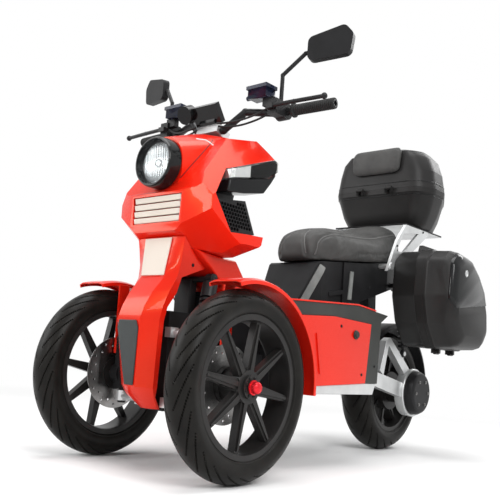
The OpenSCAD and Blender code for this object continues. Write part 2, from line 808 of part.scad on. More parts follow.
module top_box_lid() {
  z = box_seam_z + 0.5;
  color([0.12, 0.12, 0.13]) box_hinges() hinge_eye(20);
  color([0.12, 0.12, 0.13]) difference() {
    loft([for (v = lid_levels) box_ring(z + v[0] * lid_h, v[1], v[2])]);
    loft([box_ring(z - 1, wall_scale(0.99)), box_ring(z + 0.42 * lid_h, wall_scale(0.94), 6),
      box_ring(z + 0.7 * lid_h, wall_scale(0.87), 16), box_ring(z + 0.87 * lid_h, wall_scale(0.73), 32),
      box_ring(z + lid_h - box_wall, wall_scale(0.49), 42)]);
  }
  color([0.12, 0.12, 0.13])
    block([box_rear_x - lock_depth, -46, z], [box_rear_x + 14, 46, z + 34]);
}

// Front of the lid at a height over the seam
function lid_front(h) = lookup(h / lid_h, [for (v = lid_levels)
  [v[0], box_mid.x + (box_front_x - box_mid.x) * v[1] + v[2]]]);

// The pad's back leans with the lid's front
function pad_ring(p, depth) = [for (q = rounded(p, 26))
  [lid_front(q.y) + pad_seat_gap + depth, q.x, q.y + box_seam_z]];

module backrest_pad() {
  color([0.15, 0.15, 0.16]) difference() {
    loft([pad_ring(pad_outline, -12), pad_ring(pad_outline, 14),
      pad_ring([[-96, 72], [96, 72], [100, 144], [-100, 144]], 24)]);
    loft([for (v = lid_levels) box_ring(box_seam_z + v[0] * lid_h, v[1] + 0.01, v[2])]);
  }
}

// Outline of the pad, in y and in height over the seam
pad_outline = [[-108, 60], [108, 60], [112, 154], [-112, 154]];

// Side outline of a side case
case_outline = rounded([[150, 412], [-75, 412], [-122, 470], [-112, 550], [-66, 650], [0, 715], [80, 766],
  [200, 778], [248, 735], [256, 600], [222, 500]], 40, 3);
case_mid = [85, 600];

function case_ring(y, s) = [for (q = scaled(case_outline, case_mid, s)) [q.x, y, q.y]];

function case_wall(s) = s - box_wall / 175;

module case_base() {
  color([0.12, 0.12, 0.13]) difference() {
    loft([case_ring(case_y, 0.95), case_ring(case_y + 10, 0.975), case_ring(case_seam_y - 34, 0.975),
      case_ring(case_seam_y - 30, 1), case_ring(case_seam_y, 1)]);
    loft([case_ring(case_y + 6, case_wall(0.965)), case_ring(case_y + 14, case_wall(0.975)),
      case_ring(case_seam_y + 1, case_wall(0.975))]);
  }
}

module case_bases() pair() {
  case_base();
  color([0.12, 0.12, 0.13]) case_hinges() case_ears();
  color([0.12, 0.12, 0.13]) side_plate([[190, 760], [176, 796], [66, 796], [48, 742], [62, 742], [76, 784],
    [166, 784], [176, 760]], 224, 238);
}

// Levels of a case lid's skin: share of its depth, scale of the outline
case_levels = [[0, 1], [0.1, 1], [0.14, 0.975], [0.6, 0.96], [0.8, 0.92], [0.93, 0.84], [1, 0.72]];

function lid_rings(y, d, out) = [for (v = case_levels) case_ring(y + v[0] * d + out, v[1])];

// Outline of the panel on the lid's outer face
case_panel = [[246, 800], [243, 594], [212, 558], [-140, 602], [-140, 800]];

module case_lid() {
  y = case_seam_y + 0.5;
  d = case_lid_depth;
  color([0.12, 0.12, 0.13]) case_hinges() case_eye();
  color([0.12, 0.12, 0.13]) difference() {
    union() {
      loft(lid_rings(y, d, 0));
      intersection() {
        loft(lid_rings(y, d, case_panel_h));
        side_plate(case_panel, y + 0.5 * d, y + 2 * d);
      }
    }
    loft([case_ring(y - 1, case_wall(0.975)), case_ring(y + 0.58 * d, case_wall(0.96)),
      case_ring(y + 0.78 * d, case_wall(0.91)), case_ring(y + 0.9 * d, case_wall(0.83)),
      case_ring(y + d - 6, case_wall(0.71))]);
  }
}

module case_lid_left() case_lid();

module case_lid_right() mirror([0, 1, 0]) case_lid();

// Rear end

module swing_side() {
  side_plate([[460, 342], [460, 290], [60, rz - 24], [20, rz - 12], [30, rz + 24], [60, rz + 34]],
    swing_y, swing_y + swing_wall);
  side_plate([[224, 430], [196, 444], [20, rz + 84], [58, rz + 62]], swing_y, swing_y + swing_wall);
  side_plate([[196, 444], [224, 430], [262, 318], [234, 300]], swing_y, swing_y + swing_wall);
  y_cyl(0, swing_y, swing_y + swing_wall, rz, motor_r + 7);
  side_plate([[58, rz + 96], [112, rz + 132], [100, rz + 162], [74, rz + 162]], swing_y + 8, swing_y + 20);
  y_cyl(shock_eye_foot.x, swing_y + 14, shock_y + 7, shock_eye_foot.y, shock_pin_r);
}

// Places of the rear shocks' eyes in x and z, and their distance from the centre line
shock_y = 135;
shock_eye_foot = [86, rz + 150];
shock_eye_top = [150, 648];

module shock_eye(p) {
  difference() {
    y_cyl(p.x, shock_y - 6, shock_y + 6, p.y, shock_pin_r + 6);
    y_cyl(p.x, 80, 180, p.y, shock_pin_r + pin_gap);
  }
}

module rear_shocks() {
  a = [shock_eye_foot.x, shock_y, shock_eye_foot.y];
  b = [shock_eye_top.x, shock_y, shock_eye_top.y];
  v = unit(b - a);
  n = norm(b - a);
  color([0.06, 0.06, 0.06]) pair() {
    shock_eye(shock_eye_foot);
    shock_eye(shock_eye_top);
    rod(a + v * 14, b - v * 14, 6);
    rod(a + v * 28, a + v * 36, 19);
    rod(b - v * 80, b - v * 28, 15);
    rod(b - v * 36, b - v * 28, 19);
    for (i = [0 : 8]) rod(a + v * (44 + i * (n - 92) / 9), a + v * (50 + i * (n - 92) / 9), 18);
  }
}

module swing_arm() {
  color([0.72, 0.72, 0.74]) {
    pair() swing_side();
    y_cyl(0, -swing_y, swing_y, rz, axle_r);
  }
}

module motor_cap() {
  y = swing_y + swing_wall;
  color([0.05, 0.05, 0.05]) translate([0, y, rz]) rotate([-90, 0, 0]) rotate_extrude()
    polygon([[0, 0], [motor_r, 0], [motor_r, 24], [motor_r - 8, 38], [motor_r - 20, 44], [0, 44]]);
}

module rear_fender() {
  color([0.06, 0.06, 0.06]) {
    wheel_spin(0, 0, rz) rotate([0, 0, 55]) rotate_extrude(angle = 110, $fn = 96)
      polygon([[rear_tyre_r + 14, -72], [rear_tyre_r + 30, -66], [rear_tyre_r + 34, -50], [rear_tyre_r + 34, 50],
        [rear_tyre_r + 30, 66], [rear_tyre_r + 14, 72], [rear_tyre_r + 14, 68], [rear_tyre_r + 26, 62],
        [rear_tyre_r + 30, 48], [rear_tyre_r + 30, -48], [rear_tyre_r + 26, -62], [rear_tyre_r + 14, -68]]);
    side_plate([[125, rz + 242], [165, rz + 217], [195, 621.2], [135, 636.2]], -28, 28);
  }
}

module tail_lamp() {
  color([0.5, 0.05, 0.05]) block([6, -64, 742], [20, 64, 784]);
}

module plate_holder() {
  color([0.06, 0.06, 0.06]) difference() {
    union() {
      side_plate([[70, 687.5], [20, 735], [20, 726], [rear_x + 4, 612], [rear_x + 4, 590], [30, 690]], -22, 22);
      block([rear_x, -95, 470], [rear_x + 4, 95, 620]);
    }
    for (s = [-1, 1]) x_cyl(rear_x - 10, rear_x + 20, s * plate_hole_gap / 2, 580, plate_hole_r);
  }
}

// Steering

// Straight end of the bar, which starts at the origin and runs along y
module bar_end_place() {
  translate([grip_x, bar_end_y, grip_z]) rotate([0, 0, bar_sweep]) children();
}

// One side of the bar, with its clearance all round
module bar_tube(gap = 0) {
  bent_rod([[steer_x, 0, 1003], [steer_x, 50, 1003], [steer_x - 26, 108, 1056],
    [grip_x, bar_end_y, grip_z]], bar_r + gap);
  bar_end_place() {
    sphere(1.1 * (bar_r + gap));
    y_cyl(0, 0, bar_end_len, 0, bar_r + gap);
  }
}

module handlebar() {
  color([0.1, 0.1, 0.1]) difference() {
    union() {
      steer_place() translate([0, 0, -262]) cylinder(h = 280, r = stem_r);
      pair() bar_tube();
    }
    pair() bar_end_place() y_cyl(0, bar_end_len - 30, bar_end_len + 10, 0, bar_bore_r);
  }
}

// Cast clamp that holds the bar on the stem
module bar_clamp() {
  color([0.75, 0.75, 0.77]) difference() {
    steer_place() translate([-28, -42, 6]) cube([56, 84, 28]);
    steer_place() translate([0, 0, -60]) cylinder(h = 82, r = stem_r + pin_gap);
    pair() bar_tube(pin_gap);
  }
}

module grips() {
  color([0.05, 0.05, 0.05]) pair() bar_end_place() difference() {
    union() {
      y_cyl(0, bar_end_len - grip_len, bar_end_len - 1, 0, grip_r);
      y_cyl(0, bar_end_len - grip_len, bar_end_len - grip_len + 6, 0, grip_r + 5);
    }
    y_cyl(0, -20, bar_end_len + 20, 0, bar_r + pin_gap);
  }
}

module controls() {
  color([0.06, 0.06, 0.08]) pair() difference() {
    union() {
      block([grip_x + 22, 138, 1082], [grip_x + 66, 204, 1110]);
      block([grip_x + 18, 134, 1108], [grip_x + 70, 208, 1118]);
      block([grip_x - 4, 205, grip_z - 20], [grip_x + 54, 236, grip_z + 24]);
      block([grip_x + 28, 180, 1058], [grip_x + 48, 216, 1084]);
      y_cyl(grip_x, 205, 236, grip_z, 25);
      rod([grip_x + 44, 120, 1092], [grip_x + 44, 140, 1092], 7);
    }
    bar_tube(control_gap);
  }
}

module levers() {
  color([0.08, 0.08, 0.08]) pair() {
    bent_rod([[grip_x + 62, 222, grip_z], [grip_x + 58, 300, grip_z], [grip_x + 50, 394, grip_z]], 6);
    translate([grip_x + 50, 394, grip_z]) sphere(9);
    block([grip_x + 54, 208, grip_z - 7], [grip_x + 68, 232, grip_z + 7]);
  }
}

module display() {
  color([0.05, 0.05, 0.06]) steer_place() {
    translate([6, -30, 34.3]) cube([34, 60, 20]);
    translate([45, 0, 60]) rotate([0, -34, 0]) translate([-30, -50, -10]) cube([60, 100, 20]);
    rod([74, -70, 50], [52, -70, 72], 28);
  }
}

// A mirror's head is turned to face the rider
module mirror_place() {
  translate([grip_x - 30, mirror_y, mirror_z]) rotate([mirror_tip, 0, mirror_turn]) children();
}

module mirrors() {
  color([0.05, 0.05, 0.05]) pair() {
    bent_rod([[grip_x + 20, 226, grip_z + 24], [grip_x + 20, 226, 1150], [grip_x - 8, 282, 1212],
      [grip_x - 22, mirror_y - 30, mirror_z]], 6);
    mirror_place() cross_plate(rounded([[-72, -26], [52, -44], [72, 10], [54, 44], [-56, 42]], 18), -8, 16);
  }
}

module mirror_glass() {
  color([0.8, 0.85, 0.9]) pair() mirror_place()
    cross_plate(rounded([[-66, -21], [47, -37], [65, 9], [49, 38], [-50, 36]], 15), -11, -8);
}

place() front_mask();
place() inner_shield();
place() side_meshes();
place() turn_lamps();
place() lamp_housings();
place() headlight_bezel();
place() headlight_lens();
place() grille_slats();
place() nose_cover();
place() nose_inset();
place() face_panel();
place() leg_column();
place() head_tube();
place() front_frame();
place() control_arms();
place() front_shocks();
place() belly_pan();
place() battery_block();
place() floor_board();
place() side_panels();
place() side_bands();
place() sills();
place() seat_base();
place() seat();
place() seat_pillars();
place() rack();
place() rear_shocks();
place() swing_arm();
place() motor_cap();
place() rear_fender();
place() tail_lamp();
place() plate_holder();
place() top_box_base();
place() case_bases();
place() top_box_lid();
place() backrest_pad();
place() case_lid_left();
place() case_lid_right();
place() handlebar();
place() bar_clamp();
place() grips();
place() controls();
place() levers();
place() display();
place() mirrors();
place() mirror_glass();
place() knuckle_left();
place() knuckle_right();
place() fender_left();
place() fender_right();
place() rim_front_left();
place() rim_front_right();
place() disc_left();
place() disc_right();
place() tyre_front_left();
place() tyre_front_right();
place() rim_rear();
place() tyre_rear();
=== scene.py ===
"""Looks of an electric three-wheel scooter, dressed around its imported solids.

Metres, in the frame of the part: +X forward, +Y to the rider's left, +Z up, ground at z = 0.
Places on the scooter are written with at(x, y, z), in millimetres from the rear axle, the centre
line and the ground.
"""

import json
import math

import bmesh
import bpy
import numpy as np
from mathutils import Matrix, Vector
from mathutils.bvhtree import BVHTree

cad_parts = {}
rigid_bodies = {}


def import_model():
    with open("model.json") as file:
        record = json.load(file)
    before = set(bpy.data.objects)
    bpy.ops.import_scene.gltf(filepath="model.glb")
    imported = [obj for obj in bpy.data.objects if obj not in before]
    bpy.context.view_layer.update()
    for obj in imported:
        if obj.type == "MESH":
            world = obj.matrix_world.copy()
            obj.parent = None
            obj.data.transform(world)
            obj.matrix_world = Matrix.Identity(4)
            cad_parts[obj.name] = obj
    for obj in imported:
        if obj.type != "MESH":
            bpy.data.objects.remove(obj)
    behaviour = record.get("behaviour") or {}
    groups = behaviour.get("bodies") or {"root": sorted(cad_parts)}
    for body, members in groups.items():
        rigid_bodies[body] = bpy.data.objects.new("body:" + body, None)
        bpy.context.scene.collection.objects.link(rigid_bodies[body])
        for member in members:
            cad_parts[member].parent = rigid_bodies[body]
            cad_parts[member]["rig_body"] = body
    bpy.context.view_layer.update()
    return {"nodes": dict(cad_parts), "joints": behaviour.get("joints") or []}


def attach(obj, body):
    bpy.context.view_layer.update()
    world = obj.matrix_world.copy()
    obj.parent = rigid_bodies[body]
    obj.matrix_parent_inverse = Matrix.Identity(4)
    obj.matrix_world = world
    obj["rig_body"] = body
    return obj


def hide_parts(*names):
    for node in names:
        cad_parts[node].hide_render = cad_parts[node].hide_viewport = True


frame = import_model()

NODES = frame["nodes"]
JOINTS = {j["name"]: j for j in frame["joints"]}
REAR_AXLE = np.array(JOINTS["rear_spin"]["pos_m"])
FRONT_AXLE = {side: np.array(JOINTS[f"front_{side}_spin"]["pos_m"]) for side in ("left", "right")}
STEER_AXIS = np.array(JOINTS["steering_turn"]["axis"])
SIDES = {"left": 1, "right": -1}
MM = 0.001


def at(x, y, z):
    """A point given in millimetres from the rear axle, the centre line and the ground."""
    return np.array([REAR_AXLE[0] + x * MM, y * MM, z * MM])


# Distance of the front axle from the rear one, in millimetres
FX = (FRONT_AXLE["left"][0] - REAR_AXLE[0]) / MM


def in_metres(pairs):
    return [(a * MM, b * MM) for a, b in pairs]


# Meshes

class Shape:
    """Points and faces that together become one piece."""

    def __init__(self):
        self.points = []
        self.faces = []

    def add(self, points, faces):
        base = len(self.points)
        self.points += [tuple(float(c) for c in p) for p in points]
        self.faces += [tuple(base + i for i in f) for f in faces]
        return self

    def join(self, other):
        return self.add(other.points, other.faces)

    def moved(self, place, axes=None):
        """A copy with its own axes turned to the three given ones and moved to a place."""
        turn = np.identity(3) if axes is None else np.array(axes, float).T
        return Shape().add([turn @ np.array(p) + np.array(place) for p in self.points], self.faces)

    def mirrored(self):
        return Shape().add([(x, -y, z) for x, y, z in self.points], [f[::-1] for f in self.faces])

    def paired(self):
        return Shape().join(self).join(self.mirrored())


def axes_along(direction, up=(0, 0, 1)):
    """Three axes whose third points along a direction."""
    w = np.array(direction, float)
    w /= np.linalg.norm(w)
    u = np.cross(up, w)
    if np.linalg.norm(u) < 1e-6:
        u = np.cross((1, 0, 0), w)
    u /= np.linalg.norm(u)
    return u, np.cross(w, u), w


def loft(rings, close_start=True, close_end=True):
    """A skin over closed rings that all have the same number of points."""
    n = len(rings[0])
    faces = [(i * n + j, i * n + (j + 1) % n, (i + 1) * n + (j + 1) % n, (i + 1) * n + j)
             for i in range(len(rings) - 1) for j in range(n)]
    if close_start:
        faces.append(tuple(range(n))[::-1])
    if close_end:
        faces.append(tuple((len(rings) - 1) * n + j for j in range(n)))
    return Shape().add([p for r in rings for p in r], faces)


def lathe(profile, steps, closed=False):
    """A profile of (radius, height) pairs turned about the third axis."""
    n = len(profile)
    points = [(r * math.cos(2 * math.pi * k / steps), r * math.sin(2 * math.pi * k / steps), h)
              for k in range(steps) for r, h in profile]
    faces = []
    for k in range(steps):
        a, b = k * n, (k + 1) % steps * n
        faces += [(a + i, b + i, b + (i + 1) % n, a + (i + 1) % n) for i in range(n if closed else n - 1)]
    return Shape().add(points, faces)


def prism(outline, low, high):
    """An outline in the first two axes, drawn out along the third."""
    n = len(outline)
    points = [(x, y, low) for x, y in outline] + [(x, y, high) for x, y in outline]
    faces = [tuple(range(n))[::-1], tuple(range(n, 2 * n))]
    faces += [(i, (i + 1) % n, n + (i + 1) % n, n + i) for i in range(n)]
    return Shape().add(points, faces)


def side_plate(outline, y0, y1):
    """An outline in x and z, in millimetres, between two distances from the centre line."""
    ccw = outline if outline_area(outline) > 0 else outline[::-1]
    n = len(ccw)
    points = [at(x, y0, z) for x, z in ccw] + [at(x, y1, z) for x, z in ccw]
    faces = [tuple(range(n)), tuple(range(n, 2 * n))[::-1]]
    faces += [(i, n + i, n + (i + 1) % n, (i + 1) % n) for i in range(n)]
    return Shape().add(points, faces)


def outline_area(p):
    return 0.5 * sum(p[i][0] * p[(i + 1) % len(p)][1] - p[(i + 1) % len(p)][0] * p[i][1]
                     for i in range(len(p)))


def rounded(outline, radius, steps=6):
    """An outline with each corner replaced by an arc."""
    p = [np.array(q, float) for q in outline]
    result = []
    for i, b in enumerate(p):
        a, c = p[i - 1], p[(i + 1) % len(p)]
        u, v = (a - b) / np.linalg.norm(a - b), (c - b) / np.linalg.norm(c - b)
        half = math.acos(np.clip(u @ v, -1, 1)) / 2
        d = min(radius / math.tan(half), 0.48 * np.linalg.norm(a - b), 0.48 * np.linalg.norm(c - b))
        r = d * math.tan(half)
        middle = b + (u + v) / np.linalg.norm(u + v) * r / math.sin(half)
        s, e = b + u * d - middle, b + v * d - middle
        start = math.atan2(s[1], s[0])
        turn = math.atan2(s[0] * e[1] - s[1] * e[0], s @ e)
        for k in range(steps + 1):
            t = start + turn * k / steps
            result.append(middle + r * np.array([math.cos(t), math.sin(t)]))
    return result


def smooth_path(points, per_span=8):
    """Points along a curve that passes through all the given ones."""
    p = np.array(points, float)
    p = np.vstack([2 * p[0] - p[1], p, 2 * p[-1] - p[-2]])
    path = []
    for i in range(1, len(p) - 2):
        for k in range(per_span):
            t = k / per_span
            path.append(0.5 * (2 * p[i] + (p[i + 1] - p[i - 1]) * t
                               + (2 * p[i - 1] - 5 * p[i] + 4 * p[i + 1] - p[i + 2]) * t ** 2
                               + (3 * p[i] - p[i - 1] - 3 * p[i + 1] + p[i + 2]) * t ** 3))
    path.append(p[-2])
    return path


def tube(path, radius, sides):
    """A round bar along a path."""
    path = [np.array(p, float) for p in path]
    u = axes_along(path[1] - path[0])[0]
    rings = []
    for i, p in enumerate(path):
        w = path[min(i + 1, len(path) - 1)] - path[max(i - 1, 0)]
        w /= np.linalg.norm(w)
        u = u - w * (u @ w)
        u /= np.linalg.norm(u)
        v = np.cross(w, u)
        rings.append([p + radius * (math.cos(t) * u + math.sin(t) * v)
                      for t in np.linspace(0, 2 * math.pi, sides, endpoint=False)])
    return loft(rings)


def bolt_head(place, direction, radius, height=None):
    """A flanged screw head with a hexagon socket."""
    h = height or 0.7 * radius
    r = radius
    profile = [(0.0, -0.5 * h), (1.25 * r, -0.5 * h), (1.25 * r, 0.15 * h), (r, 0.2 * h), (r, 0.85 * h),
               (0.85 * r, h), (0.5 * r, h), (0.45 * r, 0.4 * h), (0.0, 0.4 * h)]
    return lathe(profile, steps=12).moved(place, axes_along(direction))


# Pieces, with angles in degrees

EDGE_ANGLE = 30.0
FLAT_ANGLE = 1.0
FACET_ANGLE = 0.05
ALL_SMOOTH = 180.0
FACE_WEIGHT = 60
PIECE_WELD, SOLID_WELD = 1e-6, 2e-6


def new_object(name, data):
    """An object in the scene that shows a mesh, a camera or a lamp."""
    obj = bpy.data.objects.new(name, data)
    bpy.context.scene.collection.objects.link(obj)
    return obj


def solid_copy(node):
    """An editable copy of a solid, with its triangles joined at their corners."""
    work = bmesh.new()
    work.from_mesh(NODES[node].data)
    bmesh.ops.remove_doubles(work, verts=work.verts, dist=SOLID_WELD)
    return work


def closed_mesh(work, name):
    """The mesh that an editable copy becomes when it is finished."""
    mesh = bpy.data.meshes.new(name)
    work.to_mesh(mesh)
    work.free()
    return mesh


def material_of(obj, material):
    obj.data.materials.clear()
    obj.data.materials.append(material)


def shade(mesh, sharp):
    mesh.shade_smooth()
    mesh.set_sharp_from_angle(angle=math.radians(sharp))


def add_bevel(obj, width, segments):
    """Rounds an object's edges and evens the shading of its faces."""
    bevel = obj.modifiers.new("edges", "BEVEL")
    bevel.width = width
    bevel.segments = segments
    bevel.limit_method = "ANGLE"
    bevel.angle_limit = math.radians(EDGE_ANGLE)
    bevel.harden_normals = False
    weighted = obj.modifiers.new("normals", "WEIGHTED_NORMAL")
    weighted.keep_sharp = True
    weighted.weight = FACE_WEIGHT


def piece(name, shape, body, material, stands_for=(), bevel=0, segments=2, sharp=35):
    """An object made of a shape, which rides on a body and may stand for some solids."""
    mesh = bpy.data.meshes.new(name)
    mesh.from_pydata(shape.points, [], shape.faces)
    mesh.update()
    work = bmesh.new()
    work.from_mesh(mesh)
    bmesh.ops.remove_doubles(work, verts=work.verts, dist=PIECE_WELD)
    bmesh.ops.recalc_face_normals(work, faces=work.faces)
    work.to_mesh(mesh)
    work.free()
    shade(mesh, ALL_SMOOTH if bevel else sharp)
    obj = new_object(name, mesh)
    material_of(obj, material)
    if bevel:
        add_bevel(obj, bevel, segments)
    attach(obj, body)
    if stands_for:
        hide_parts(*stands_for)
    return obj


def dress(node, material, bevel, segments):
    """A copy of a solid that stands for it, with its edges rounded; a bevel of 0 keeps a loft's facets."""
    flat = math.radians(FLAT_ANGLE if bevel else FACET_ANGLE)
    work = solid_copy(node)
    bmesh.ops.dissolve_limit(work, angle_limit=flat, verts=work.verts, edges=work.edges)
    bmesh.ops.recalc_face_normals(work, faces=work.faces)
    mesh = closed_mesh(work, node + "_look")
    shade(mesh, ALL_SMOOTH if bevel else EDGE_ANGLE)
    obj = new_object(node + "_look", mesh)
    material_of(obj, material)
    if bevel:
        add_bevel(obj, bevel, segments)
    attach(obj, NODES[node]["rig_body"])
    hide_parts(node)
    return obj


# Places on the solids

def search_tree(mesh):
    """A search tree over the faces of a mesh."""
    points = [v.co.copy() for v in mesh.vertices]
    faces = [list(p.vertices) for p in mesh.polygons]
    return BVHTree.FromPolygons(points, faces)


def node_tree(node):
    return search_tree(NODES[node].data)


def touch(tree, start, direction):
    """Where a straight line first meets a surface, and the outward normal there."""
    aim = Vector(direction).normalized()
    place, normal, _, _ = tree.ray_cast(Vector(start), aim)
    if normal.dot(aim) > 0:
        normal = -normal
    return np.array(place), np.array(normal)


def inside(x, z, outline):
    """Whether a point lies inside an outline of (x, z) pairs."""
    within = False
    for i, (x1, z1) in enumerate(outline):
        x0, z0 = outline[i - 1]
        if (z1 > z) != (z0 > z) and x < (x0 - x1) * (z - z1) / (z0 - z1) + x1:
            within = not within
    return within


def settle(obj):
    """Fixes the result of an object's modifiers in its mesh."""
    graph = bpy.context.evaluated_depsgraph_get()
    mesh = bpy.data.meshes.new_from_object(obj.evaluated_get(graph))
    obj.modifiers.clear()
    obj.data = mesh


# Materials

def new_material(name):
    material = bpy.data.materials.new(name)
    material.use_nodes = True
    tree = material.node_tree
    tree.nodes.clear()
    output = tree.nodes.new("ShaderNodeOutputMaterial")
    shader = tree.nodes.new("ShaderNodeBsdfPrincipled")
    tree.links.new(shader.outputs["BSDF"], output.inputs["Surface"])
    return material, tree, shader


def coordinates(tree):
    return tree.nodes.new("ShaderNodeTexCoord").outputs["Object"]


def noise(tree, scale, detail=3.0):
    texture = tree.nodes.new("ShaderNodeTexNoise")
    texture.inputs["Scale"].default_value = scale
    texture.inputs["Detail"].default_value = detail
    tree.links.new(coordinates(tree), texture.inputs["Vector"])
    return texture.outputs["Fac"]


def ramp(tree, value, low, high, start=0.3, end=0.7):
    """Maps a texture to a range of colours or of grey values."""
    node = tree.nodes.new("ShaderNodeValToRGB")
    for element, place, colour in zip(node.color_ramp.elements, (start, end), (low, high)):
        element.position = place
        element.color = (*colour, 1) if hasattr(colour, "__len__") else (colour, colour, colour, 1)
    tree.links.new(value, node.inputs["Fac"])
    return node.outputs["Color"]


def bump(tree, shader, height, strength, distance):
    node = tree.nodes.new("ShaderNodeBump")
    node.inputs["Strength"].default_value = strength
    node.inputs["Distance"].default_value = distance
    tree.links.new(height, node.inputs["Height"])
    tree.links.new(node.outputs["Normal"], shader.inputs["Normal"])


PLAIN_SPECULAR = 0.22
DRIFT_DETAIL, GRAIN_DETAIL = 4.0, 2.0
GRAIN_HEIGHT = 0.001


def set_constants(shader, constants):
    """Sets sockets, named with underscores for spaces, to fixed values."""
    for socket, value in {"Specular_IOR_Level": PLAIN_SPECULAR, **constants}.items():
        shader.inputs[socket.replace("_", " ")].default_value = value


def surface(name, low, high, rough, drift_scale, grain_scale, grain_bump, **constants):
    """A surface with soft drifts of colour, uneven gloss and a fine grain."""
    material, tree, shader = new_material(name)
    drift = noise(tree, drift_scale, DRIFT_DETAIL)
    tree.links.new(ramp(tree, drift, low, high), shader.inputs["Base Color"])
    grain = noise(tree, grain_scale, GRAIN_DETAIL)
    tree.links.new(ramp(tree, grain, *rough), shader.inputs["Roughness"])
    bump(tree, shader, grain, grain_bump, GRAIN_HEIGHT)
    set_constants(shader, constants)
    return material


LEATHER_DRIFT, LEATHER_GLOSS = 14.0, 60.0
CREASE_SHARE = 0.25
CREASE_HEIGHT = 0.0008


def leather_material(name, low, high, rough, cell_scale, crease_bump):
    """Small cells with creases between them."""
    material, tree, shader = new_material(name)
    drift = noise(tree, LEATHER_DRIFT, DRIFT_DETAIL)
    tree.links.new(ramp(tree, drift, low, high), shader.inputs["Base Color"])
    cells = tree.nodes.new("ShaderNodeTexVoronoi")
    cells.feature = "DISTANCE_TO_EDGE"
    cells.inputs["Scale"].default_value = cell_scale
    tree.links.new(coordinates(tree), cells.inputs["Vector"])
    crease = ramp(tree, cells.outputs["Distance"], 0.0, 1.0, 0.0, CREASE_SHARE)
    tree.links.new(ramp(tree, noise(tree, LEATHER_GLOSS), *rough), shader.inputs["Roughness"])
    bump(tree, shader, crease, crease_bump, CREASE_HEIGHT)
    set_constants(shader, {})
    return material


LENS_DRIFT, LENS_GLOSS = 30.0, 300.0
LENS_PALER = 1.06
LENS_UNEVEN = 0.04


def lens_material(name, colour, rough, ior):
    """Clear or tinted moulded plastic with a faint unevenness."""
    material, tree, shader = new_material(name)
    paler = tuple(min(1.0, c * LENS_PALER) for c in colour)
    tree.links.new(ramp(tree, noise(tree, LENS_DRIFT), colour, paler), shader.inputs["Base Color"])
    gloss = ramp(tree, noise(tree, LENS_GLOSS), rough, rough + LENS_UNEVEN)
    tree.links.new(gloss, shader.inputs["Roughness"])
    shader.inputs["Transmission Weight"].default_value = 1.0
    shader.inputs["IOR"].default_value = ior
    return material


# Each surface: its darkest and palest colour, range of roughness, scales of its drifts and its grain, bump
ORANGE_GLEAM = (1.0, 0.42, 0.12, 1)
PAINT = surface("red_paint", (0.66, 0.010, 0.004), (0.80, 0.018, 0.006), (0.24, 0.30), 3.0, 900.0, 0.012,
                Coat_Weight=0.2, Coat_Roughness=0.03, Specular_Tint=ORANGE_GLEAM, Specular_IOR_Level=0.4)
# Painted shade: a dark red laid along the cowl's crease where the groove between hood and cheek falls dark
CREASE_SHADE_RED = surface("shadow_red", (0.10, 0.004, 0.003), (0.16, 0.006, 0.004), (0.4, 0.5), 9.0, 700.0, 0.03)
RED_CAP = surface("red_cap", (0.55, 0.012, 0.02), (0.72, 0.02, 0.03), (0.2, 0.3), 14.0, 600.0, 0.03,
                  Metallic=0.5)
WHITE_TRIM = surface("white_trim", (0.72, 0.72, 0.72), (0.80, 0.80, 0.79), (0.25, 0.35), 12.0, 700.0, 0.02)
# Painted reflection: a pale colour on the grille slats and the face panel that stands in for a softbox's
# white reflection in red paint
PAINTED_REFLECTION_PALE = surface("painted_reflection_pale", (0.66, 0.59, 0.51), (0.74, 0.67, 0.59), (0.42, 0.5), 5.0, 900.0, 0.01,
                Specular_IOR_Level=0.1)
BLACK_PLASTIC = surface("black_plastic", (0.007, 0.007, 0.0075), (0.014, 0.014, 0.015), (0.36, 0.5),
                        12.0, 1400.0, 0.12, Specular_IOR_Level=0.16)
GLOSS_BLACK = surface("gloss_black", (0.005, 0.005, 0.006), (0.009, 0.010, 0.010), (0.1, 0.16),
                      8.0, 900.0, 0.01, Coat_Weight=0.15, Coat_Roughness=0.03, Specular_IOR_Level=0.16)
BLUE_BLACK = surface("reservoir", (0.008, 0.010, 0.018), (0.014, 0.02, 0.045), (0.12, 0.2), 25.0, 600.0, 0.02)
DARK_GREY = surface("dark_grey", (0.042, 0.046, 0.046), (0.058, 0.064, 0.064), (0.42, 0.55),
                    10.0, 1500.0, 0.1)
BAND_GREY = surface("band_grey", (0.028, 0.030, 0.028), (0.042, 0.044, 0.040), (0.4, 0.52), 10.0, 1500.0, 0.1)
# Painted highlight: a light grey on the seat base's corner pillars that stands in for the highlight on its
# rounded corner
CORNER_HIGHLIGHT_GREY = surface("pillar_grey", (0.16, 0.17, 0.165), (0.26, 0.27, 0.26), (0.28, 0.4), 20.0, 700.0, 0.05)
CHARCOAL = surface("charcoal_plastic", (0.012, 0.0115, 0.0115), (0.020, 0.0195, 0.019), (0.36, 0.5),
                   7.0, 1600.0, 0.12, Specular_IOR_Level=0.2)
FRAME_BLACK = surface("frame_black", (0.009, 0.009, 0.0095), (0.016, 0.016, 0.017), (0.3, 0.42),
                      16.0, 700.0, 0.08, Specular_IOR_Level=0.18)
WHEEL_BLACK = surface("wheel_black", (0.013, 0.012, 0.012), (0.022, 0.021, 0.020), (0.3, 0.4),
                      16.0, 700.0, 0.04)
SILVER = surface("cast_silver", (0.58, 0.59, 0.59), (0.70, 0.71, 0.71), (0.3, 0.42), 18.0, 600.0, 0.08,
                 Metallic=0.75)
STEEL = surface("disc_steel", (0.22, 0.215, 0.21), (0.32, 0.315, 0.31), (0.25, 0.4), 30.0, 900.0, 0.06,
                Metallic=1.0)
MIRROR = surface("mirror_face", (0.80, 0.82, 0.84), (0.86, 0.88, 0.9), (0.01, 0.03), 8.0, 300.0, 0.002,
                 Metallic=1.0)
REFLECTOR = surface("lamp_reflector", (0.86, 0.87, 0.88), (0.93, 0.94, 0.94), (0.16, 0.26), 20.0, 500.0, 0.02,
                    Metallic=0.8)
SCREEN = surface("screen", (0.012, 0.016, 0.02), (0.02, 0.026, 0.03), (0.06, 0.1), 12.0, 500.0, 0.005,
                 Coat_Weight=1.0)
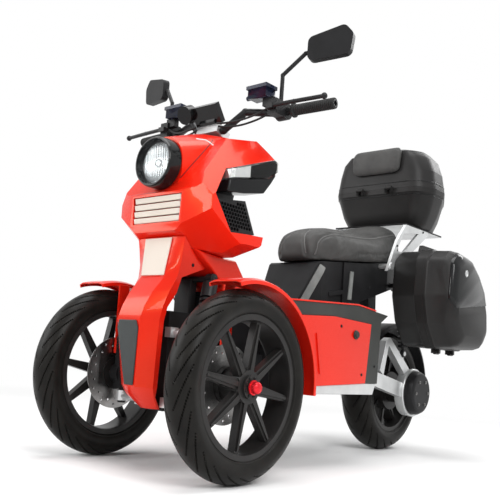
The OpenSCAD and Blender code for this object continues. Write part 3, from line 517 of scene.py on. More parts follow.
RUBBER = surface("tyre_rubber", (0.006, 0.0055, 0.005), (0.012, 0.011, 0.0095), (0.32, 0.46),
                 22.0, 900.0, 0.1, Specular_IOR_Level=0.12)
GRIP = surface("grip_rubber", (0.010, 0.010, 0.010), (0.020, 0.020, 0.020), (0.55, 0.7), 20.0, 1200.0, 0.15)
PIPING = surface("piping", (0.10, 0.10, 0.10), (0.15, 0.15, 0.145), (0.5, 0.6), 30.0, 900.0, 0.1)
LEATHER = leather_material("leather", (0.042, 0.042, 0.041), (0.064, 0.063, 0.061), (0.45, 0.6), 520.0, 0.22)

THIN_IOR, SOLID_IOR = 1.2, 1.46
GLASS = lens_material("clear_glass", (0.93, 0.96, 0.97), 0.02, THIN_IOR)
LAMP_GLASS = lens_material("lamp_glass", (0.62, 0.63, 0.62), 0.03, THIN_IOR)
RED_LENS = lens_material("red_lens", (0.55, 0.02, 0.02), 0.08, SOLID_IOR)


# Camera and studio

CAMERA_AZIMUTH = math.radians(43.0)
CAMERA_RISE = math.radians(-4.1)
CAMERA_ROLL = math.radians(4.2)
CAMERA_PLACE = at(2721, 1490, 335)
FOCAL_PX = 730.0
PICTURE_PX = 500.0
AXIS_PX = (200.0, 300.0)
SENSOR_MM = 36.0


def add_camera():
    """A camera that sees the scooter as the photograph does."""
    data = bpy.data.cameras.new("camera")
    obj = new_object("camera", data)
    back = np.array([math.cos(CAMERA_RISE) * math.cos(CAMERA_AZIMUTH),
                     math.cos(CAMERA_RISE) * math.sin(CAMERA_AZIMUTH), math.sin(CAMERA_RISE)])
    right = np.cross(-back, (0, 0, 1))
    right /= np.linalg.norm(right)
    up = np.cross(right, -back)
    c, s = math.cos(CAMERA_ROLL), math.sin(CAMERA_ROLL)
    axes = np.array([right * c + up * s, up * c - right * s, back]).T
    obj.matrix_world = Matrix.Translation(CAMERA_PLACE) @ Matrix(axes.tolist()).to_4x4()
    data.sensor_width = SENSOR_MM
    data.lens = FOCAL_PX / PICTURE_PX * data.sensor_width
    data.shift_x = 0.5 - AXIS_PX[0] / PICTURE_PX
    data.shift_y = AXIS_PX[1] / PICTURE_PX - 0.5
    bpy.context.scene.camera = obj


LAMP_TARGET = Vector((0.0, 0.0, 0.65))
# Each lamp: the direction it stands in, in degrees round and up, its distance, width, height and power
LAMPS = {
    "left_box": (62, 29, 3.6, 1.7, 1.7, 78),
    "front_box": (-44, 21, 3.6, 1.6, 2.0, 46),
    "cheek_box": (0, 13, 3.8, 0.4, 0.8, 16),
    "top_box": (20, 84, 3.4, 2.6, 2.6, 92),
    "rear_box": (165, 38, 3.8, 1.8, 1.8, 54),
}


def softbox(name, azimuth, rise, distance, width, height, power):
    """A soft rectangular lamp that points at the scooter."""
    data = bpy.data.lights.new(name, "AREA")
    data.shape = "RECTANGLE"
    data.size = width
    data.size_y = height
    data.energy = power
    obj = new_object(name, data)
    a, r = math.radians(azimuth), math.radians(rise)
    away = Vector((math.cos(r) * math.cos(a), math.cos(r) * math.sin(a), math.sin(r)))
    obj.location = LAMP_TARGET + away * distance
    obj.rotation_euler = away.to_track_quat("Z", "Y").to_euler()


def seen_ray(tree):
    """1 for rays that show the background itself: camera, glossy and transmission rays."""
    path = tree.nodes.new("ShaderNodeLightPath")
    total = path.outputs["Is Camera Ray"]
    for name in ("Is Glossy Ray", "Is Transmission Ray"):
        larger = tree.nodes.new("ShaderNodeMath")
        larger.operation = "MAXIMUM"
        tree.links.new(total, larger.inputs[0])
        tree.links.new(path.outputs[name], larger.inputs[1])
        total = larger.outputs[0]
    return total


FILL_LIGHT = 0.36


def add_world():
    """A white background that lights the scooter only faintly."""
    world = bpy.data.worlds.new("studio")
    bpy.context.scene.world = world
    world.use_nodes = True
    tree = world.node_tree
    tree.nodes.clear()
    output = tree.nodes.new("ShaderNodeOutputWorld")
    mix = tree.nodes.new("ShaderNodeMixShader")
    fill = tree.nodes.new("ShaderNodeBackground")
    fill.inputs["Color"].default_value = (1, 1, 1, 1)
    fill.inputs["Strength"].default_value = FILL_LIGHT
    white = tree.nodes.new("ShaderNodeBackground")
    white.inputs["Color"].default_value = (1, 1, 1, 1)
    white.inputs["Strength"].default_value = 1.0
    tree.links.new(seen_ray(tree), mix.inputs["Fac"])
    tree.links.new(fill.outputs[0], mix.inputs[1])
    tree.links.new(white.outputs[0], mix.inputs[2])
    tree.links.new(mix.outputs[0], output.inputs["Surface"])


FLOOR_RADIUS = 14.0
FLOOR_STEPS = 64
FLOOR_DROP = 0.0005
FLOOR_FADE = (1.5, 3.4)
FLOOR_DRIFT = 2.0
FLOOR_GREYS = (0.93, 0.96)


def add_floor():
    """A pale floor that keeps the shadow near the scooter and turns white further out."""
    turns = np.linspace(0, 2 * math.pi, FLOOR_STEPS, endpoint=False)
    ring = [(FLOOR_RADIUS * math.cos(t), FLOOR_RADIUS * math.sin(t), 0) for t in turns]
    mesh = bpy.data.meshes.new("floor")
    mesh.from_pydata(ring, [], [tuple(range(FLOOR_STEPS))])
    obj = new_object("floor", mesh)
    obj.location.z = -FLOOR_DROP
    material = bpy.data.materials.new("floor")
    material.use_nodes = True
    tree = material.node_tree
    tree.nodes.clear()
    output = tree.nodes.new("ShaderNodeOutputMaterial")
    diffuse = tree.nodes.new("ShaderNodeBsdfDiffuse")
    tree.links.new(ramp(tree, noise(tree, FLOOR_DRIFT), *FLOOR_GREYS), diffuse.inputs["Color"])
    white = tree.nodes.new("ShaderNodeEmission")
    white.inputs["Strength"].default_value = 1.0
    length = tree.nodes.new("ShaderNodeVectorMath")
    length.operation = "LENGTH"
    tree.links.new(coordinates(tree), length.inputs[0])
    fade = tree.nodes.new("ShaderNodeMapRange")
    fade.interpolation_type = "SMOOTHSTEP"
    fade.inputs["From Min"].default_value = FLOOR_FADE[0]
    fade.inputs["From Max"].default_value = FLOOR_FADE[1]
    tree.links.new(length.outputs["Value"], fade.inputs["Value"])
    seen = tree.nodes.new("ShaderNodeMath")
    seen.operation = "MULTIPLY"
    tree.links.new(fade.outputs["Result"], seen.inputs[0])
    tree.links.new(seen_ray(tree), seen.inputs[1])
    mix = tree.nodes.new("ShaderNodeMixShader")
    tree.links.new(seen.outputs[0], mix.inputs["Fac"])
    tree.links.new(diffuse.outputs[0], mix.inputs[1])
    tree.links.new(white.outputs[0], mix.inputs[2])
    tree.links.new(mix.outputs[0], output.inputs["Surface"])
    material_of(obj, material)


add_camera()
add_world()
add_floor()
for name, lamp in LAMPS.items():
    softbox(name, *lamp)
bpy.context.scene.view_settings.view_transform = "Standard"


# Tyres, in millimetres and in degrees from the middle of the tread

GROOVE_DEPTH, GROOVE_HALF = 4.5, 3.4
GROOVE_FROM, GROOVE_TO = 9.0, 72.0
GROOVE_SLANT, GROOVE_BEND = 0.34, 0.0016
GROOVE_FADE = 10.0
GROOVE_TIP = 0.55
RIDGE_FROM, RIDGE_TO = 80.0, 83.0
RIDGE_HEIGHT = 0.7
CROWN_SHARE = 0.42
BEAD_ANGLE = 95.0


def tyre_profile(radius, width, rim_radius, per_side=26):
    """Radius, offset and tread angle along one tyre's section, from bead to bead."""
    h = CROWN_SHARE * width
    rows = [(0, 0.36), (4, 0.385), (10, 0.40), (13, 0.455), (17, 0.455), (19, 0.47)]
    bead = [(rim_radius + rise, share * width, BEAD_ANGLE) for rise, share in rows]
    arc = [(radius - h + h * math.cos(a), 0.5 * width * math.sin(a), math.degrees(a))
           for a in np.linspace(math.pi / 2, -math.pi / 2, 2 * per_side + 1)]
    return bead + arc + [(r, -offset, -angle) for r, offset, angle in bead[::-1]]


def groove_depth(turn, angle, radius, grooves):
    """Depth of the slanted tread grooves at a turn of the wheel and a tread angle."""
    side = abs(angle)
    if not GROOVE_FROM < side < GROOVE_TO:
        return 0.0
    step = 360.0 / grooves
    shift = 0.0 if angle > 0 else step / 2
    along = side - GROOVE_FROM
    middle = GROOVE_SLANT * along + GROOVE_BEND * along ** 2
    gap = (turn - shift - middle) % step
    gap = math.radians(min(gap, step - gap)) * radius
    taper = min(1.0, along / GROOVE_FADE, (GROOVE_TO - side) / GROOVE_FADE)
    half_width = GROOVE_HALF * (GROOVE_TIP + (1 - GROOVE_TIP) * taper)
    return GROOVE_DEPTH * min(1.0, 2.0 * max(0.0, 1 - gap / half_width))


def tyre(node, axle, radius, width, rim_radius, grooves, steps=900):
    """A tyre with grooves and a mould ridge, which stands for a plain one."""
    profile = tyre_profile(radius, width, rim_radius)
    n = len(profile)
    points, faces = [], []
    for k in range(steps):
        turn = 360.0 * k / steps
        t = math.radians(turn)
        for r, offset, angle in profile:
            depth = groove_depth(turn, angle, r, grooves)
            if RIDGE_FROM < abs(angle) < RIDGE_TO:
                depth = -RIDGE_HEIGHT
            lean = math.radians(min(abs(angle), 90))
            reach = r - depth * math.cos(lean)
            across = offset - math.copysign(depth * math.sin(lean), offset)
            points.append(axle + MM * np.array([reach * math.cos(t), across, reach * math.sin(t)]))
        a, b = k * n, (k + 1) % steps * n
        faces += [(a + i, a + (i + 1) % n, b + (i + 1) % n, b + i) for i in range(n)]
    shape = Shape().add(points, faces)
    piece(node + "_look", shape, NODES[node]["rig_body"], RUBBER, [node], sharp=38)


for side in SIDES:
    tyre("tyre_front_" + side, FRONT_AXLE[side], radius=255, width=92, rim_radius=180, grooves=26)
tyre("tyre_rear", REAR_AXLE, radius=238, width=124, rim_radius=153, grooves=22)


# Plain solids with rounded edges

# Each solid: its material and slot, the width of its bevel in millimetres and the bevel's steps
DRESSED = [
    ("front_mask", PAINT, "paint_red", 4, 3),
    ("nose_cover", PAINT, "paint_red", 4, 3),
    ("leg_column", PAINT, "paint_red", 6, 3),
    ("side_panels", PAINT, "paint_red", 3, 3),
    ("fender_left", PAINT, "paint_red", 1.2, 2),
    ("fender_right", PAINT, "paint_red", 1.2, 2),
    # The slats and the face panel carry the pale painted reflection in place of the red paint they reflect it
    # in
    ("grille_slats", PAINTED_REFLECTION_PALE, "cream", 1.5, 2),
    ("face_panel", PAINTED_REFLECTION_PALE, "cream", 1.2, 2),
    ("inner_shield", BLACK_PLASTIC, "black_plastic", 2, 2),
    ("lamp_housings", GLOSS_BLACK, "black_plastic", 4, 3),
    ("belly_pan", BLACK_PLASTIC, "black_plastic", 1, 2),
    ("floor_board", BLACK_PLASTIC, "black_plastic", 3, 2),
    ("seat_base", BLACK_PLASTIC, "black_plastic", 4, 3),
    ("rear_fender", BLACK_PLASTIC, "black_plastic", 1, 2),
    ("plate_holder", BLACK_PLASTIC, "black_plastic", 1, 2),
    ("motor_cap", BLACK_PLASTIC, "black_plastic", 2, 2),
    ("controls", BLACK_PLASTIC, "black_plastic", 2, 2),
    ("display", GLOSS_BLACK, "black_plastic", 3, 2),
    ("mirrors", BLACK_PLASTIC, "black_plastic", 9, 4),
    ("levers", FRAME_BLACK, "black_plastic", 1, 2),
    ("nose_inset", DARK_GREY, "dark_grey", 2, 2),
    ("side_bands", BAND_GREY, "dark_grey", 3, 3),
    ("headlight_bezel", GLOSS_BLACK, "gloss_black", 1, 2),
    ("front_frame", FRAME_BLACK, "frame_black", 3, 2),
    ("head_tube", FRAME_BLACK, "frame_black", 1, 2),
    ("battery_block", FRAME_BLACK, "frame_black", 3, 2),
    ("front_shocks", FRAME_BLACK, "frame_black", 1, 2),
    ("handlebar", FRAME_BLACK, "frame_black", 1, 2),
    ("knuckle_left", FRAME_BLACK, "frame_black", 2, 2),
    ("knuckle_right", FRAME_BLACK, "frame_black", 2, 2),
    ("rim_front_left", WHEEL_BLACK, "wheel_black", 1.5, 2),
    ("rim_front_right", WHEEL_BLACK, "wheel_black", 1.5, 2),
    ("rim_rear", WHEEL_BLACK, "wheel_black", 1.5, 2),
    ("control_arms", SILVER, "silver", 2, 2),
    ("sills", SILVER, "silver", 2, 2),
    ("rack", SILVER, "silver", 2, 2),
    ("swing_arm", SILVER, "silver", 3, 3),
    ("disc_left", STEEL, "disc_steel", 0.5, 1),
    ("disc_right", STEEL, "disc_steel", 0.5, 1),
    ("top_box_base", CHARCOAL, "charcoal", 0, 2),
    ("case_bases", CHARCOAL, "charcoal", 0, 2),
    ("top_box_lid", CHARCOAL, "charcoal", 0, 2),
    ("case_lid_left", CHARCOAL, "charcoal", 0, 2),
    ("case_lid_right", CHARCOAL, "charcoal", 0, 2),
    ("side_meshes", BLACK_PLASTIC, "black_plastic", 0.4, 1),
    ("rear_shocks", FRAME_BLACK, "frame_black", 1, 2),
    ("bar_clamp", SILVER, "silver", 2, 2),
    # The corner pillars carry the light grey painted highlight
    ("seat_pillars", CORNER_HIGHLIGHT_GREY, "pillar_grey", 1, 2),
    ("turn_lamps", LAMP_GLASS, "amber_lens", 3, 2),
    ("tail_lamp", RED_LENS, "red_lens", 2, 2),
    ("mirror_glass", MIRROR, "mirror", 0.5, 1),
]
for node, material, slot, width, segments in DRESSED:
    dress(node, material, width * MM, segments)


# Seat and backrest pad

CLOTH_PRESSURE = 4.0
CLOTH_FRAMES = 20
SOFT_SHRINK = 2 * MM
SMOOTH_ROUNDS = 8
RESTING_SLOPE = 0.6


def inflate(obj, cap):
    """Swells a closed mesh like stuffed cloth, by no more than a cap, with its resting side held."""
    start = np.array([v.co for v in obj.data.vertices])
    cloth = obj.modifiers.new("cloth", "CLOTH")
    cloth.settings.use_pressure = True
    cloth.settings.uniform_pressure_force = CLOTH_PRESSURE
    cloth.settings.effector_weights.gravity = 0.0
    cloth.settings.vertex_group_mass = "held"
    cloth.collision_settings.use_collision = False
    cloth.point_cache.frame_start = 1
    cloth.point_cache.frame_end = CLOTH_FRAMES
    scene = bpy.context.scene
    for number in range(1, CLOTH_FRAMES + 1):
        scene.frame_set(number)
    result = obj.evaluated_get(bpy.context.evaluated_depsgraph_get()).data
    move = np.array([v.co for v in result.vertices]) - start
    length = np.linalg.norm(move, axis=1, keepdims=True)
    end = start + move * np.minimum(1.0, cap / np.maximum(length, 1e-9))
    obj.modifiers.clear()
    scene.frame_set(1)
    obj.data.vertices.foreach_set("co", end.ravel())
    obj.data.update()


def soft_copy(node, down, cap, voxel, taller=1.0):
    """A stuffed copy of a solid, smoothed and swollen; down is the direction of its resting side."""
    obj = new_object(node + "_look", NODES[node].data.copy())
    remesh = obj.modifiers.new("remesh", "REMESH")
    remesh.mode = "VOXEL"
    remesh.voxel_size = voxel
    settle(obj)
    work = bmesh.new()
    work.from_mesh(obj.data)
    foot = min(v.co.z for v in work.verts)
    for v in work.verts:
        v.co.z = foot + (v.co.z - foot) * taller
    for _ in range(SMOOTH_ROUNDS):
        bmesh.ops.smooth_vert(work, verts=work.verts, factor=0.5,
                              use_axis_x=True, use_axis_y=True, use_axis_z=True)
    work.normal_update()
    for v in work.verts:
        v.co -= v.normal * SOFT_SHRINK
    resting = [v.index for v in work.verts if v.normal.dot(Vector(down)) > RESTING_SLOPE]
    work.to_mesh(obj.data)
    work.free()
    obj.vertex_groups.new(name="held").add(resting, 1.0, "REPLACE")
    inflate(obj, cap)
    obj.modifiers.new("finer", "SUBSURF").render_levels = 1
    obj.modifiers["finer"].levels = 1
    settle(obj)
    return obj


def sew(obj, path, width, depth):
    """Draws the surface in along a seam."""
    seam = np.array(path)
    points = np.array([v.co for v in obj.data.vertices])
    near = np.all((points > seam.min(axis=0) - width) & (points < seam.max(axis=0) + width), axis=1)
    for i in np.nonzero(near)[0]:
        gap = np.min(np.linalg.norm(seam - points[i], axis=1))
        if gap < width:
            v = obj.data.vertices[i]
            v.co -= v.normal * depth * (1 - (gap / width) ** 2) ** 2
    obj.data.update()


def finish_soft(obj, node):
    """Makes a stuffed copy of a solid a padded leather piece that stands for it."""
    obj.data.shade_smooth()
    material_of(obj, LEATHER)
    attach(obj, NODES[node]["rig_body"])
    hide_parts(node)


# The seat's seams in millimetres: along its side as (x, z), up its front as (y, z), over its top as (x, y)
SIDE_SEAM = [(646, 696), (644, 716), (637, 744), (608, 767), (548, 783), (470, 788), (380, 797), (281, 816),
             (200, 836), (140, 848)]
FRONT_SEAM = [(56, 700), (54, 712), (48, 736), (34, 772)]
TOP_SEAM = [(618, 28), (600, 14), (596, 0)]
SEAM_WIDTH, SEAM_DEPTH = 14 * MM, 3.5 * MM
PIPING_R = 2.2 * MM
# Where the lines that look for the seat's surface start
BESIDE, BEFORE, ABOVE = 400, 900, 1000

seat = soft_copy("seat", (0, 0, -1), 8 * MM, voxel=6 * MM)
seat_tree = search_tree(seat.data)
side_route = smooth_path([touch(seat_tree, at(x, BESIDE, z), (0, -1, 0))[0] for x, z in SIDE_SEAM], 10)
front_route = smooth_path([touch(seat_tree, at(BEFORE, y, z), (-1, 0, 0))[0] for y, z in FRONT_SEAM]
                          + [touch(seat_tree, at(x, y, ABOVE), (0, 0, -1))[0] for x, y in TOP_SEAM], 8)
for route in (side_route, front_route):
    mirrored = [(p[0], -p[1], p[2]) for p in route]
    sew(seat, route, SEAM_WIDTH, SEAM_DEPTH)
    sew(seat, mirrored, SEAM_WIDTH, SEAM_DEPTH)
seat_tree = search_tree(seat.data)


def on_seat(route):
    return [np.array(seat_tree.find_nearest(Vector(p))[0]) for p in route]


piping = tube(on_seat(side_route), PIPING_R, 8).paired()
piping.join(tube(on_seat(front_route), PIPING_R, 8).paired())
piece("seat_piping", piping, "chassis", PIPING, sharp=60)
finish_soft(seat, "seat")

pad = soft_copy("backrest_pad", (-1, 0, 0), 10 * MM, voxel=5 * MM, taller=1.16)
finish_soft(pad, "backrest_pad")


# Headlight and turn lamps

HEADLIGHT = at(FX + 78, 0, 858)
FORWARD = axes_along((1, 0, 0))
LENS_R = 57.7 * MM
LENS_EDGE, LENS_CROWN = 21 * MM, 10 * MM
GLASS_WALL = 2 * MM
BOWL_FLOOR, BOWL_DEPTH = 6 * MM, 12.5 * MM
FLUTE_PITCH, FLUTE_HEIGHT, FLUTE_FADE = 9 * MM, 0.7 * MM, 20 * MM
BULB_SHIELD = [(0, 15.2), (6, 15), (10, 13.5), (12.5, 10.5), (12.5, 7.5), (16, 7), (16, 5), (0, 5)]

dome = [(LENS_R * math.cos(a), LENS_EDGE + LENS_CROWN * math.sin(a)) for a in np.linspace(0, math.pi / 2, 16)]
inner = [(max(0.0, r - GLASS_WALL), h - GLASS_WALL) for r, h in dome[::-1]]
glass = lathe(dome + inner, steps=72).moved(HEADLIGHT, FORWARD)
piece("headlight_glass", glass, "chassis", GLASS, ["headlight_lens"], sharp=60)

bowl = lathe([(LENS_R * s, BOWL_FLOOR + BOWL_DEPTH * s ** 2) for s in np.linspace(1.0, 0.02, 28)], steps=120)
fluted = [(x, y, z + FLUTE_HEIGHT * math.cos(2 * math.pi * x / FLUTE_PITCH)
           * min(1.0, math.hypot(x, y) / FLUTE_FADE)) for x, y, z in bowl.points]
reflector = Shape().add(fluted, bowl.faces).moved(HEADLIGHT, FORWARD)
piece("headlight_reflector", reflector, "chassis", REFLECTOR, sharp=60)
shield = lathe(in_metres(BULB_SHIELD), steps=48)
piece("headlight_bulb", shield.moved(HEADLIGHT, FORWARD), "chassis", REFLECTOR, sharp=40)

LAMP_WALL = 5 * MM
LAMP_RIB_X = at(FX - 82, 0, 0)[0]


def lamp_core(name, front, material):
    """The inside of the turn lamps: a shrunken copy of the lenses, cut across at the middle rib."""
    work = solid_copy("turn_lamps")
    bmesh.ops.recalc_face_normals(work, faces=work.faces)
    work.normal_update()
    for v in work.verts:
        v.co -= v.normal * LAMP_WALL
    bmesh.ops.bisect_plane(work, geom=work.verts[:] + work.edges[:] + work.faces[:],
                           plane_co=(LAMP_RIB_X, 0, 0), plane_no=(1, 0, 0),
                           clear_inner=front, clear_outer=not front)
    bmesh.ops.holes_fill(work, edges=work.edges)
    mesh = closed_mesh(work, name)
    shade(mesh, EDGE_ANGLE)
    obj = new_object(name, mesh)
    material_of(obj, material)
    add_bevel(obj, 2 * MM, 2)
    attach(obj, "chassis")


lamp_core("turn_lamp_reflectors", True, REFLECTOR)
lamp_core("turn_lamp_backs", False, GLOSS_BLACK)


# Panels and locks on the side cases

CASE_PANEL = [(246, 800), (243, 594), (212, 558), (-140, 602), (-140, 800)]
CASE_MIDDLE_X, CASE_MIDDLE_Z = 85, 600
# How far out the middle of the case's outer side is taken to lie, and where the panel's relief begins
CASE_REACH = 400
PANEL_FROM_Y = 338
PANEL_FACING = 0.42
PANEL_LIFT, PANEL_SKIN = 0.4 * MM, 0.8 * MM
CASE_LOCK_X, CASE_LOCK_Z = 148, 689
LOCK_R = 9.5 * MM
LOCK_FACE = [(0.0, -3.0), (1.25, -3.0), (1.25, 1.6), (1.1, 2.6), (0.95, 2.6), (0.9, 1.2), (0.0, 1.2)]
KEY_SLOT = [(-0.9, -5.225), (0.9, -5.225), (0.9, 5.225), (-0.9, 5.225)]
# Where the lines that look for a solid's outer side start
OUTSIDE_Y = 600


def cover(name, node, keep, lift, thick, material, cut_z=None):
    """A thin skin over the faces of a solid that a test picks, after a cut at a height if one is given."""
    work = solid_copy(node)
    bmesh.ops.recalc_face_normals(work, faces=work.faces)
    if cut_z:
        bmesh.ops.bisect_plane(work, geom=work.verts[:] + work.edges[:] + work.faces[:],
                               plane_co=(0, 0, cut_z), plane_no=(0, 0, 1))
    rest = [f for f in work.faces if not keep(f.calc_center_median(), f.normal)]
    bmesh.ops.delete(work, geom=rest, context="FACES")
    work.normal_update()
    for v in work.verts:
        v.co += v.normal * lift
    mesh = closed_mesh(work, name)
    shade(mesh, EDGE_ANGLE)
    obj = new_object(name, mesh)
    material_of(obj, material)
    shell = obj.modifiers.new("thick", "SOLIDIFY")
    shell.thickness = thick
    shell.offset = -1.0
    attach(obj, NODES[node]["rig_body"])
    return obj


def lock(place, normal):
    """A round lock face with a rim and a key slot."""
    face = lathe([(share * LOCK_R, height * MM) for share, height in LOCK_FACE], steps=32)
    slot = prism(in_metres(KEY_SLOT), 1.0 * MM, 1.9 * MM)
    return face.join(slot).moved(place, axes_along(normal))


def on_panel(centre, normal, sign):
    """Whether a face of a case's lid belongs to the gloss panel on its outer side."""
    x, z = (centre.x - REAR_AXLE[0]) / MM, centre.z / MM
    outward = normal.dot(Vector((x - CASE_MIDDLE_X, sign * CASE_REACH, z - CASE_MIDDLE_Z)))
    return (inside(x, z, CASE_PANEL) and sign * centre.y / MM > PANEL_FROM_Y
            and outward > 0 and sign * normal.y > PANEL_FACING)


for side, sign in SIDES.items():
    node = "case_lid_" + side
    cover("case_panel_" + side, node, lambda centre, normal: on_panel(centre, normal, sign),
          PANEL_LIFT, PANEL_SKIN, GLOSS_BLACK)
    start = at(CASE_LOCK_X, sign * OUTSIDE_Y, CASE_LOCK_Z)
    place, normal = touch(node_tree(node), start, (0, -sign, 0))
    piece("case_lock_" + side, lock(place, normal), node, SILVER)


# Rubber mat on the rack, and the lines beside the top box's seam

MAT_FROM_Z = 882.9
MAT_FACING = -0.5
MAT_SKIN = 0.3 * MM


def on_plate(centre, normal):
    """Whether a face of the rack belongs to the top or the edge of its plate."""
    return centre.z / MM > MAT_FROM_Z and normal.z > MAT_FACING


cover("rack_mat", "rack", on_plate, MAT_SKIN, MAT_SKIN, BLACK_PLASTIC)


def girth(node, centre, count=120):
    """A closed path round a solid at the height of a point inside it."""
    tree = node_tree(node)
    path = []
    for t in np.linspace(0, 2 * math.pi, count, endpoint=False):
        out = np.array([math.cos(t), math.sin(t), 0.0])
        path.append(touch(tree, np.array(centre) + out, -out)[0])
    return path


def closed_tube(path, radius, sides=8):
    """A round bar along a closed path at one height."""
    n = len(path)
    rings = []
    for i, p in enumerate(path):
        w = path[(i + 1) % n] - path[i - 1]
        u = np.cross((0, 0, 1), w / np.linalg.norm(w))
        rings.append([p + radius * (math.cos(t) * u + math.sin(t) * np.array([0, 0, 1]))
                      for t in np.linspace(0, 2 * math.pi, sides, endpoint=False)])
    return loft(rings + [rings[0]], False, False)


BOX_LINE_R = 1.6 * MM
BOX_LINES = (("top_box_lid", "top_lid", 1064), ("top_box_base", "chassis", 1014))
for node, body, z in BOX_LINES:
    line = closed_tube(girth(node, at(-40, 0, z)), BOX_LINE_R)
    piece(node + "_line", line, body, GLOSS_BLACK, sharp=60)


# Wheels, in millimetres out from the middle of the wheel

HUB_CAP = [(0, 68.5), (7, 68.2), (12.5, 66.5), (15.5, 63), (16.5, 58), (16.5, 50.5), (19.5, 50), (19.5, 46.2),
           (17.5, 45.5), (0, 45.5)]
HUB_FACE, HUB_CIRCLE_R = 42.5, 24.5
MOTOR_RING = [(88.5, -1), (94, -1), (94, 8), (92, 10), (87.2, 10), (85.6, 9.5), (85.6, 0.5)]
MOTOR_FACE, MOTOR_CAP_FACE, MOTOR_CIRCLE_R = 136, 180, 50


def bolt_circle(axle, axes, out, circle_r, count, radius, first=0.0):
    """Screw heads on a circle round an axle, at a distance out along it."""
    bolts = Shape()
    for k in range(count):
        t = 2 * math.pi * (k + first) / count
        away = axes[0] * math.cos(t) + axes[1] * math.sin(t)
        bolts.join(bolt_head(axle + MM * (away * circle_r + axes[2] * out), axes[2], radius * MM))
    return bolts


for side, sign in SIDES.items():
    axle = FRONT_AXLE[side]
    axes = axes_along((0, sign, 0))
    body = "wheel_front_" + side
    cap = lathe(in_metres(HUB_CAP), steps=40)
    piece("hub_cap_" + side, cap.moved(axle, axes), body, RED_CAP)
    bolts = bolt_circle(axle, axes, HUB_FACE, HUB_CIRCLE_R, count=8, radius=3.4, first=0.5)
    piece("hub_bolts_" + side, bolts, body, WHEEL_BLACK)

motor_axes = axes_along((0, 1, 0))
ring = lathe(in_metres(MOTOR_RING), steps=96, closed=True)
ring = ring.moved(REAR_AXLE + motor_axes[2] * MOTOR_FACE * MM, motor_axes)
piece("motor_ring", ring, "chassis", SILVER)
bolts = bolt_circle(REAR_AXLE, motor_axes, MOTOR_CAP_FACE, MOTOR_CIRCLE_R, count=6, radius=5)
piece("motor_bolts", bolts, "chassis", STEEL)


# Handlebar

BAR_SWEEP = math.radians(4.0)
BAR_BEND = at(1065, 200, 1048)
GRIP_FROM, GRIP_TO = 55.0, 189.0
GRIP_BORE_R, GRIP_GAP_R, GRIP_RIB_R, GRIP_END_R = 11.4, 14.8, 16.0, 15.2
GRIP_NECK_R, GRIP_FLANGE_R = 16.5, 21.0
RIB_PITCH = 6.2


def grip_profile():
    """Radius and distance along the bar of a grip with a flange, ribs and a bore."""
    profile = [(GRIP_NECK_R, GRIP_FROM), (GRIP_FLANGE_R, GRIP_FROM), (GRIP_FLANGE_R, GRIP_FROM + 5),
               (GRIP_NECK_R, GRIP_FROM + 6.5)]
    d = GRIP_FROM + 9
    while d < GRIP_TO - 6:
        profile += [(GRIP_GAP_R, d), (GRIP_RIB_R, d + 1.2), (GRIP_RIB_R, d + 3.4), (GRIP_GAP_R, d + 4.6)]
        d += RIB_PITCH
    profile += [(GRIP_RIB_R, GRIP_TO - 4), (GRIP_END_R, GRIP_TO),
                (GRIP_BORE_R, GRIP_TO), (GRIP_BORE_R, GRIP_FROM)]
    return in_metres(profile)


bar_axes = axes_along((-math.sin(BAR_SWEEP), math.cos(BAR_SWEEP), 0))
grip = lathe(grip_profile(), steps=40, closed=True).moved(BAR_BEND, bar_axes)
piece("grips_look", grip.paired(), "steering", GRIP, ["grips"], sharp=30)

RAKE = math.acos(STEER_AXIS[2])
STEM_FOOT = at(FX - 113, 0, 981)
STEM_FRONT = np.array([math.cos(RAKE), 0, math.sin(RAKE)])
ACROSS = np.array([0.0, 1.0, 0.0])
DISPLAY_TILT = math.radians(34)
DISPLAY_FORWARD, DISPLAY_UP, DISPLAY_HALF_DEPTH = 45 * MM, 60 * MM, 10 * MM
SCREEN_OUTLINE = [(-25, -44), (25, -44), (25, 44), (-25, 44)]
SCREEN_CORNER = 6 * MM

screen_up = STEER_AXIS * math.cos(DISPLAY_TILT) - STEM_FRONT * math.sin(DISPLAY_TILT)
screen_on = STEM_FRONT * math.cos(DISPLAY_TILT) + STEER_AXIS * math.sin(DISPLAY_TILT)
screen = prism(rounded(in_metres(SCREEN_OUTLINE), SCREEN_CORNER), -1.0 * MM, 1.2 * MM)
display = STEM_FOOT + STEM_FRONT * DISPLAY_FORWARD + STEER_AXIS * DISPLAY_UP
screen = screen.moved(display + screen_up * DISPLAY_HALF_DEPTH, (screen_on, ACROSS, screen_up))
piece("display_screen", screen, "steering", SCREEN, bevel=0.5 * MM)

BUTTONS = ((1092, 214, 1072, 4.0), (1106, 226, 1072, 3.4))
BUTTON_HEIGHT = 4 * MM
ROCKER_X, ROCKER_Y, ROCKER_HEIGHT = (1062, 1072), (204.2, 205.2), 8
switches = Shape()
for x, y, z, r in BUTTONS:
    switches.join(bolt_head(at(x, y, z), (0, 0, 1), r * MM, BUTTON_HEIGHT))
for z in (1036, 1050):
    back, front = ROCKER_X
    outline = [(back, z), (front, z), (front, z + ROCKER_HEIGHT), (back, z + ROCKER_HEIGHT)]
    switches.join(side_plate(outline, *ROCKER_Y))
piece("switch_buttons", switches.paired(), "steering", DARK_GREY, bevel=0.6 * MM)

RESERVOIR_FROM_Z, RESERVOIR_TOP_Z = 1081.5, 1118
RESERVOIR_LIFT, RESERVOIR_SKIN = 0.3 * MM, 0.6 * MM
caps = Shape()
for x in (1088, 1131):
    for y in (141, 201):
        caps.join(bolt_head(at(x, y, RESERVOIR_TOP_Z), (0, 0, 1), 3.2 * MM, 2 * MM))
piece("reservoir_screws", caps.paired(), "steering", STEEL)
cover("reservoir_covers", "controls", lambda centre, normal: centre.z / MM > RESERVOIR_FROM_Z, RESERVOIR_LIFT,
      RESERVOIR_SKIN, BLUE_BLACK, RESERVOIR_FROM_Z * MM)


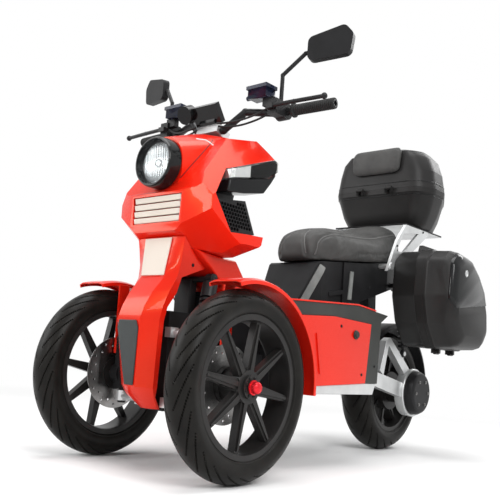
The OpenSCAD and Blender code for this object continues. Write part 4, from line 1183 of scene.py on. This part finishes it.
CABLE_R = 3.0
CABLES = {
    "brake_hose": [(1098, 205.5, 1041), (1104, 188, 1032), (1115, 160, 1019), (1129, 122, 1008),
                   (1140, 84, 1005), (1144, 60, 1008), (1144, 43, 1012)],
    "switch_lead": [(1113, 205.5, 1050), (1120, 186, 1040), (1132, 156, 1026), (1145, 118, 1016),
                    (1153, 82, 1014), (1153, 60, 1016), (1152, 43, 1019)],
}


def cable(name, route):
    """A cable from a switch pod to the bar clamp, along its route."""
    path = smooth_path([at(*p) for p in route], 6)
    obj = piece(name, tube(path, CABLE_R * MM, 12), "steering", GRIP, sharp=60)


for side, sign in SIDES.items():
    for name, route in CABLES.items():
        cable(f"{name}_{side}", [(x, sign * y, z) for x, y, z in route])


# Lines and trim on the cowl

def hug(tree, points, lift):
    """A smooth path through points, held on a surface and lifted off it a little."""
    route = []
    for p in smooth_path(points, 8):
        place, normal, _, _ = tree.find_nearest(Vector(p))
        route.append(np.array(place) + np.array(normal) * lift)
    return route


cowl = node_tree("front_mask")
# A dark red tube along the crease between hood and cheek is painted shade in the groove
CREASE = [(1188, 65, 955), (1210, 74, 934), (1235, 81, 911), (1270, 83, 873), (1294, 77, 842),
          (1309, 63, 815)]
CREASE_R, CREASE_LIFT = 1.6 * MM, 0.1 * MM
crease = tube(hug(cowl, [at(*p) for p in CREASE], CREASE_LIFT), CREASE_R, 8)
piece("hood_crease_shade", crease.paired(), "chassis", CREASE_SHADE_RED, sharp=60)
TRIM = [(1246, 53, 944), (1234, 57, 945), (1221, 61, 947), (1213, 65, 945), (1207, 72, 940), (1199, 79, 934)]
TRIM_R, TRIM_LIFT = 2.4 * MM, 0.2 * MM
strip = tube(hug(cowl, [at(*p) for p in TRIM], TRIM_LIFT), TRIM_R, 8)
piece("hood_trim", strip.paired(), "chassis", WHITE_TRIM, sharp=60)

# Screws on the left side, each by its solid and its x and z
PANEL_SCREWS = [("nose_cover", 1252, 577), ("side_panels", 700, 452), ("side_panels", 560, 300),
                ("side_panels", 860, 300), ("side_bands", 470, 330), ("seat_base", 690, 560),
                ("seat_base", 330, 620), ("rack", 226, 790), ("rack", 20, 876)]
SCREW_R, SCREW_HEIGHT = 4.2 * MM, 2.2 * MM
screws = Shape()
for node, x, z in PANEL_SCREWS:
    place, normal = touch(node_tree(node), at(x, OUTSIDE_Y, z), (0, -1, 0))
    screws.join(bolt_head(place, normal, SCREW_R, SCREW_HEIGHT))
piece("panel_screws", screws.paired(), "chassis", FRAME_BLACK)

SILL_END = [(FX - 362, 256.5), (FX - 378, 232), (FX - 428, 232), (FX - 412, 256.5)]
SILL_END_Y = (225.0, 226.8)
red_end = side_plate(SILL_END, *SILL_END_Y)
piece("sill_ends", red_end.paired(), "chassis", PAINT, bevel=0.4 * MM)
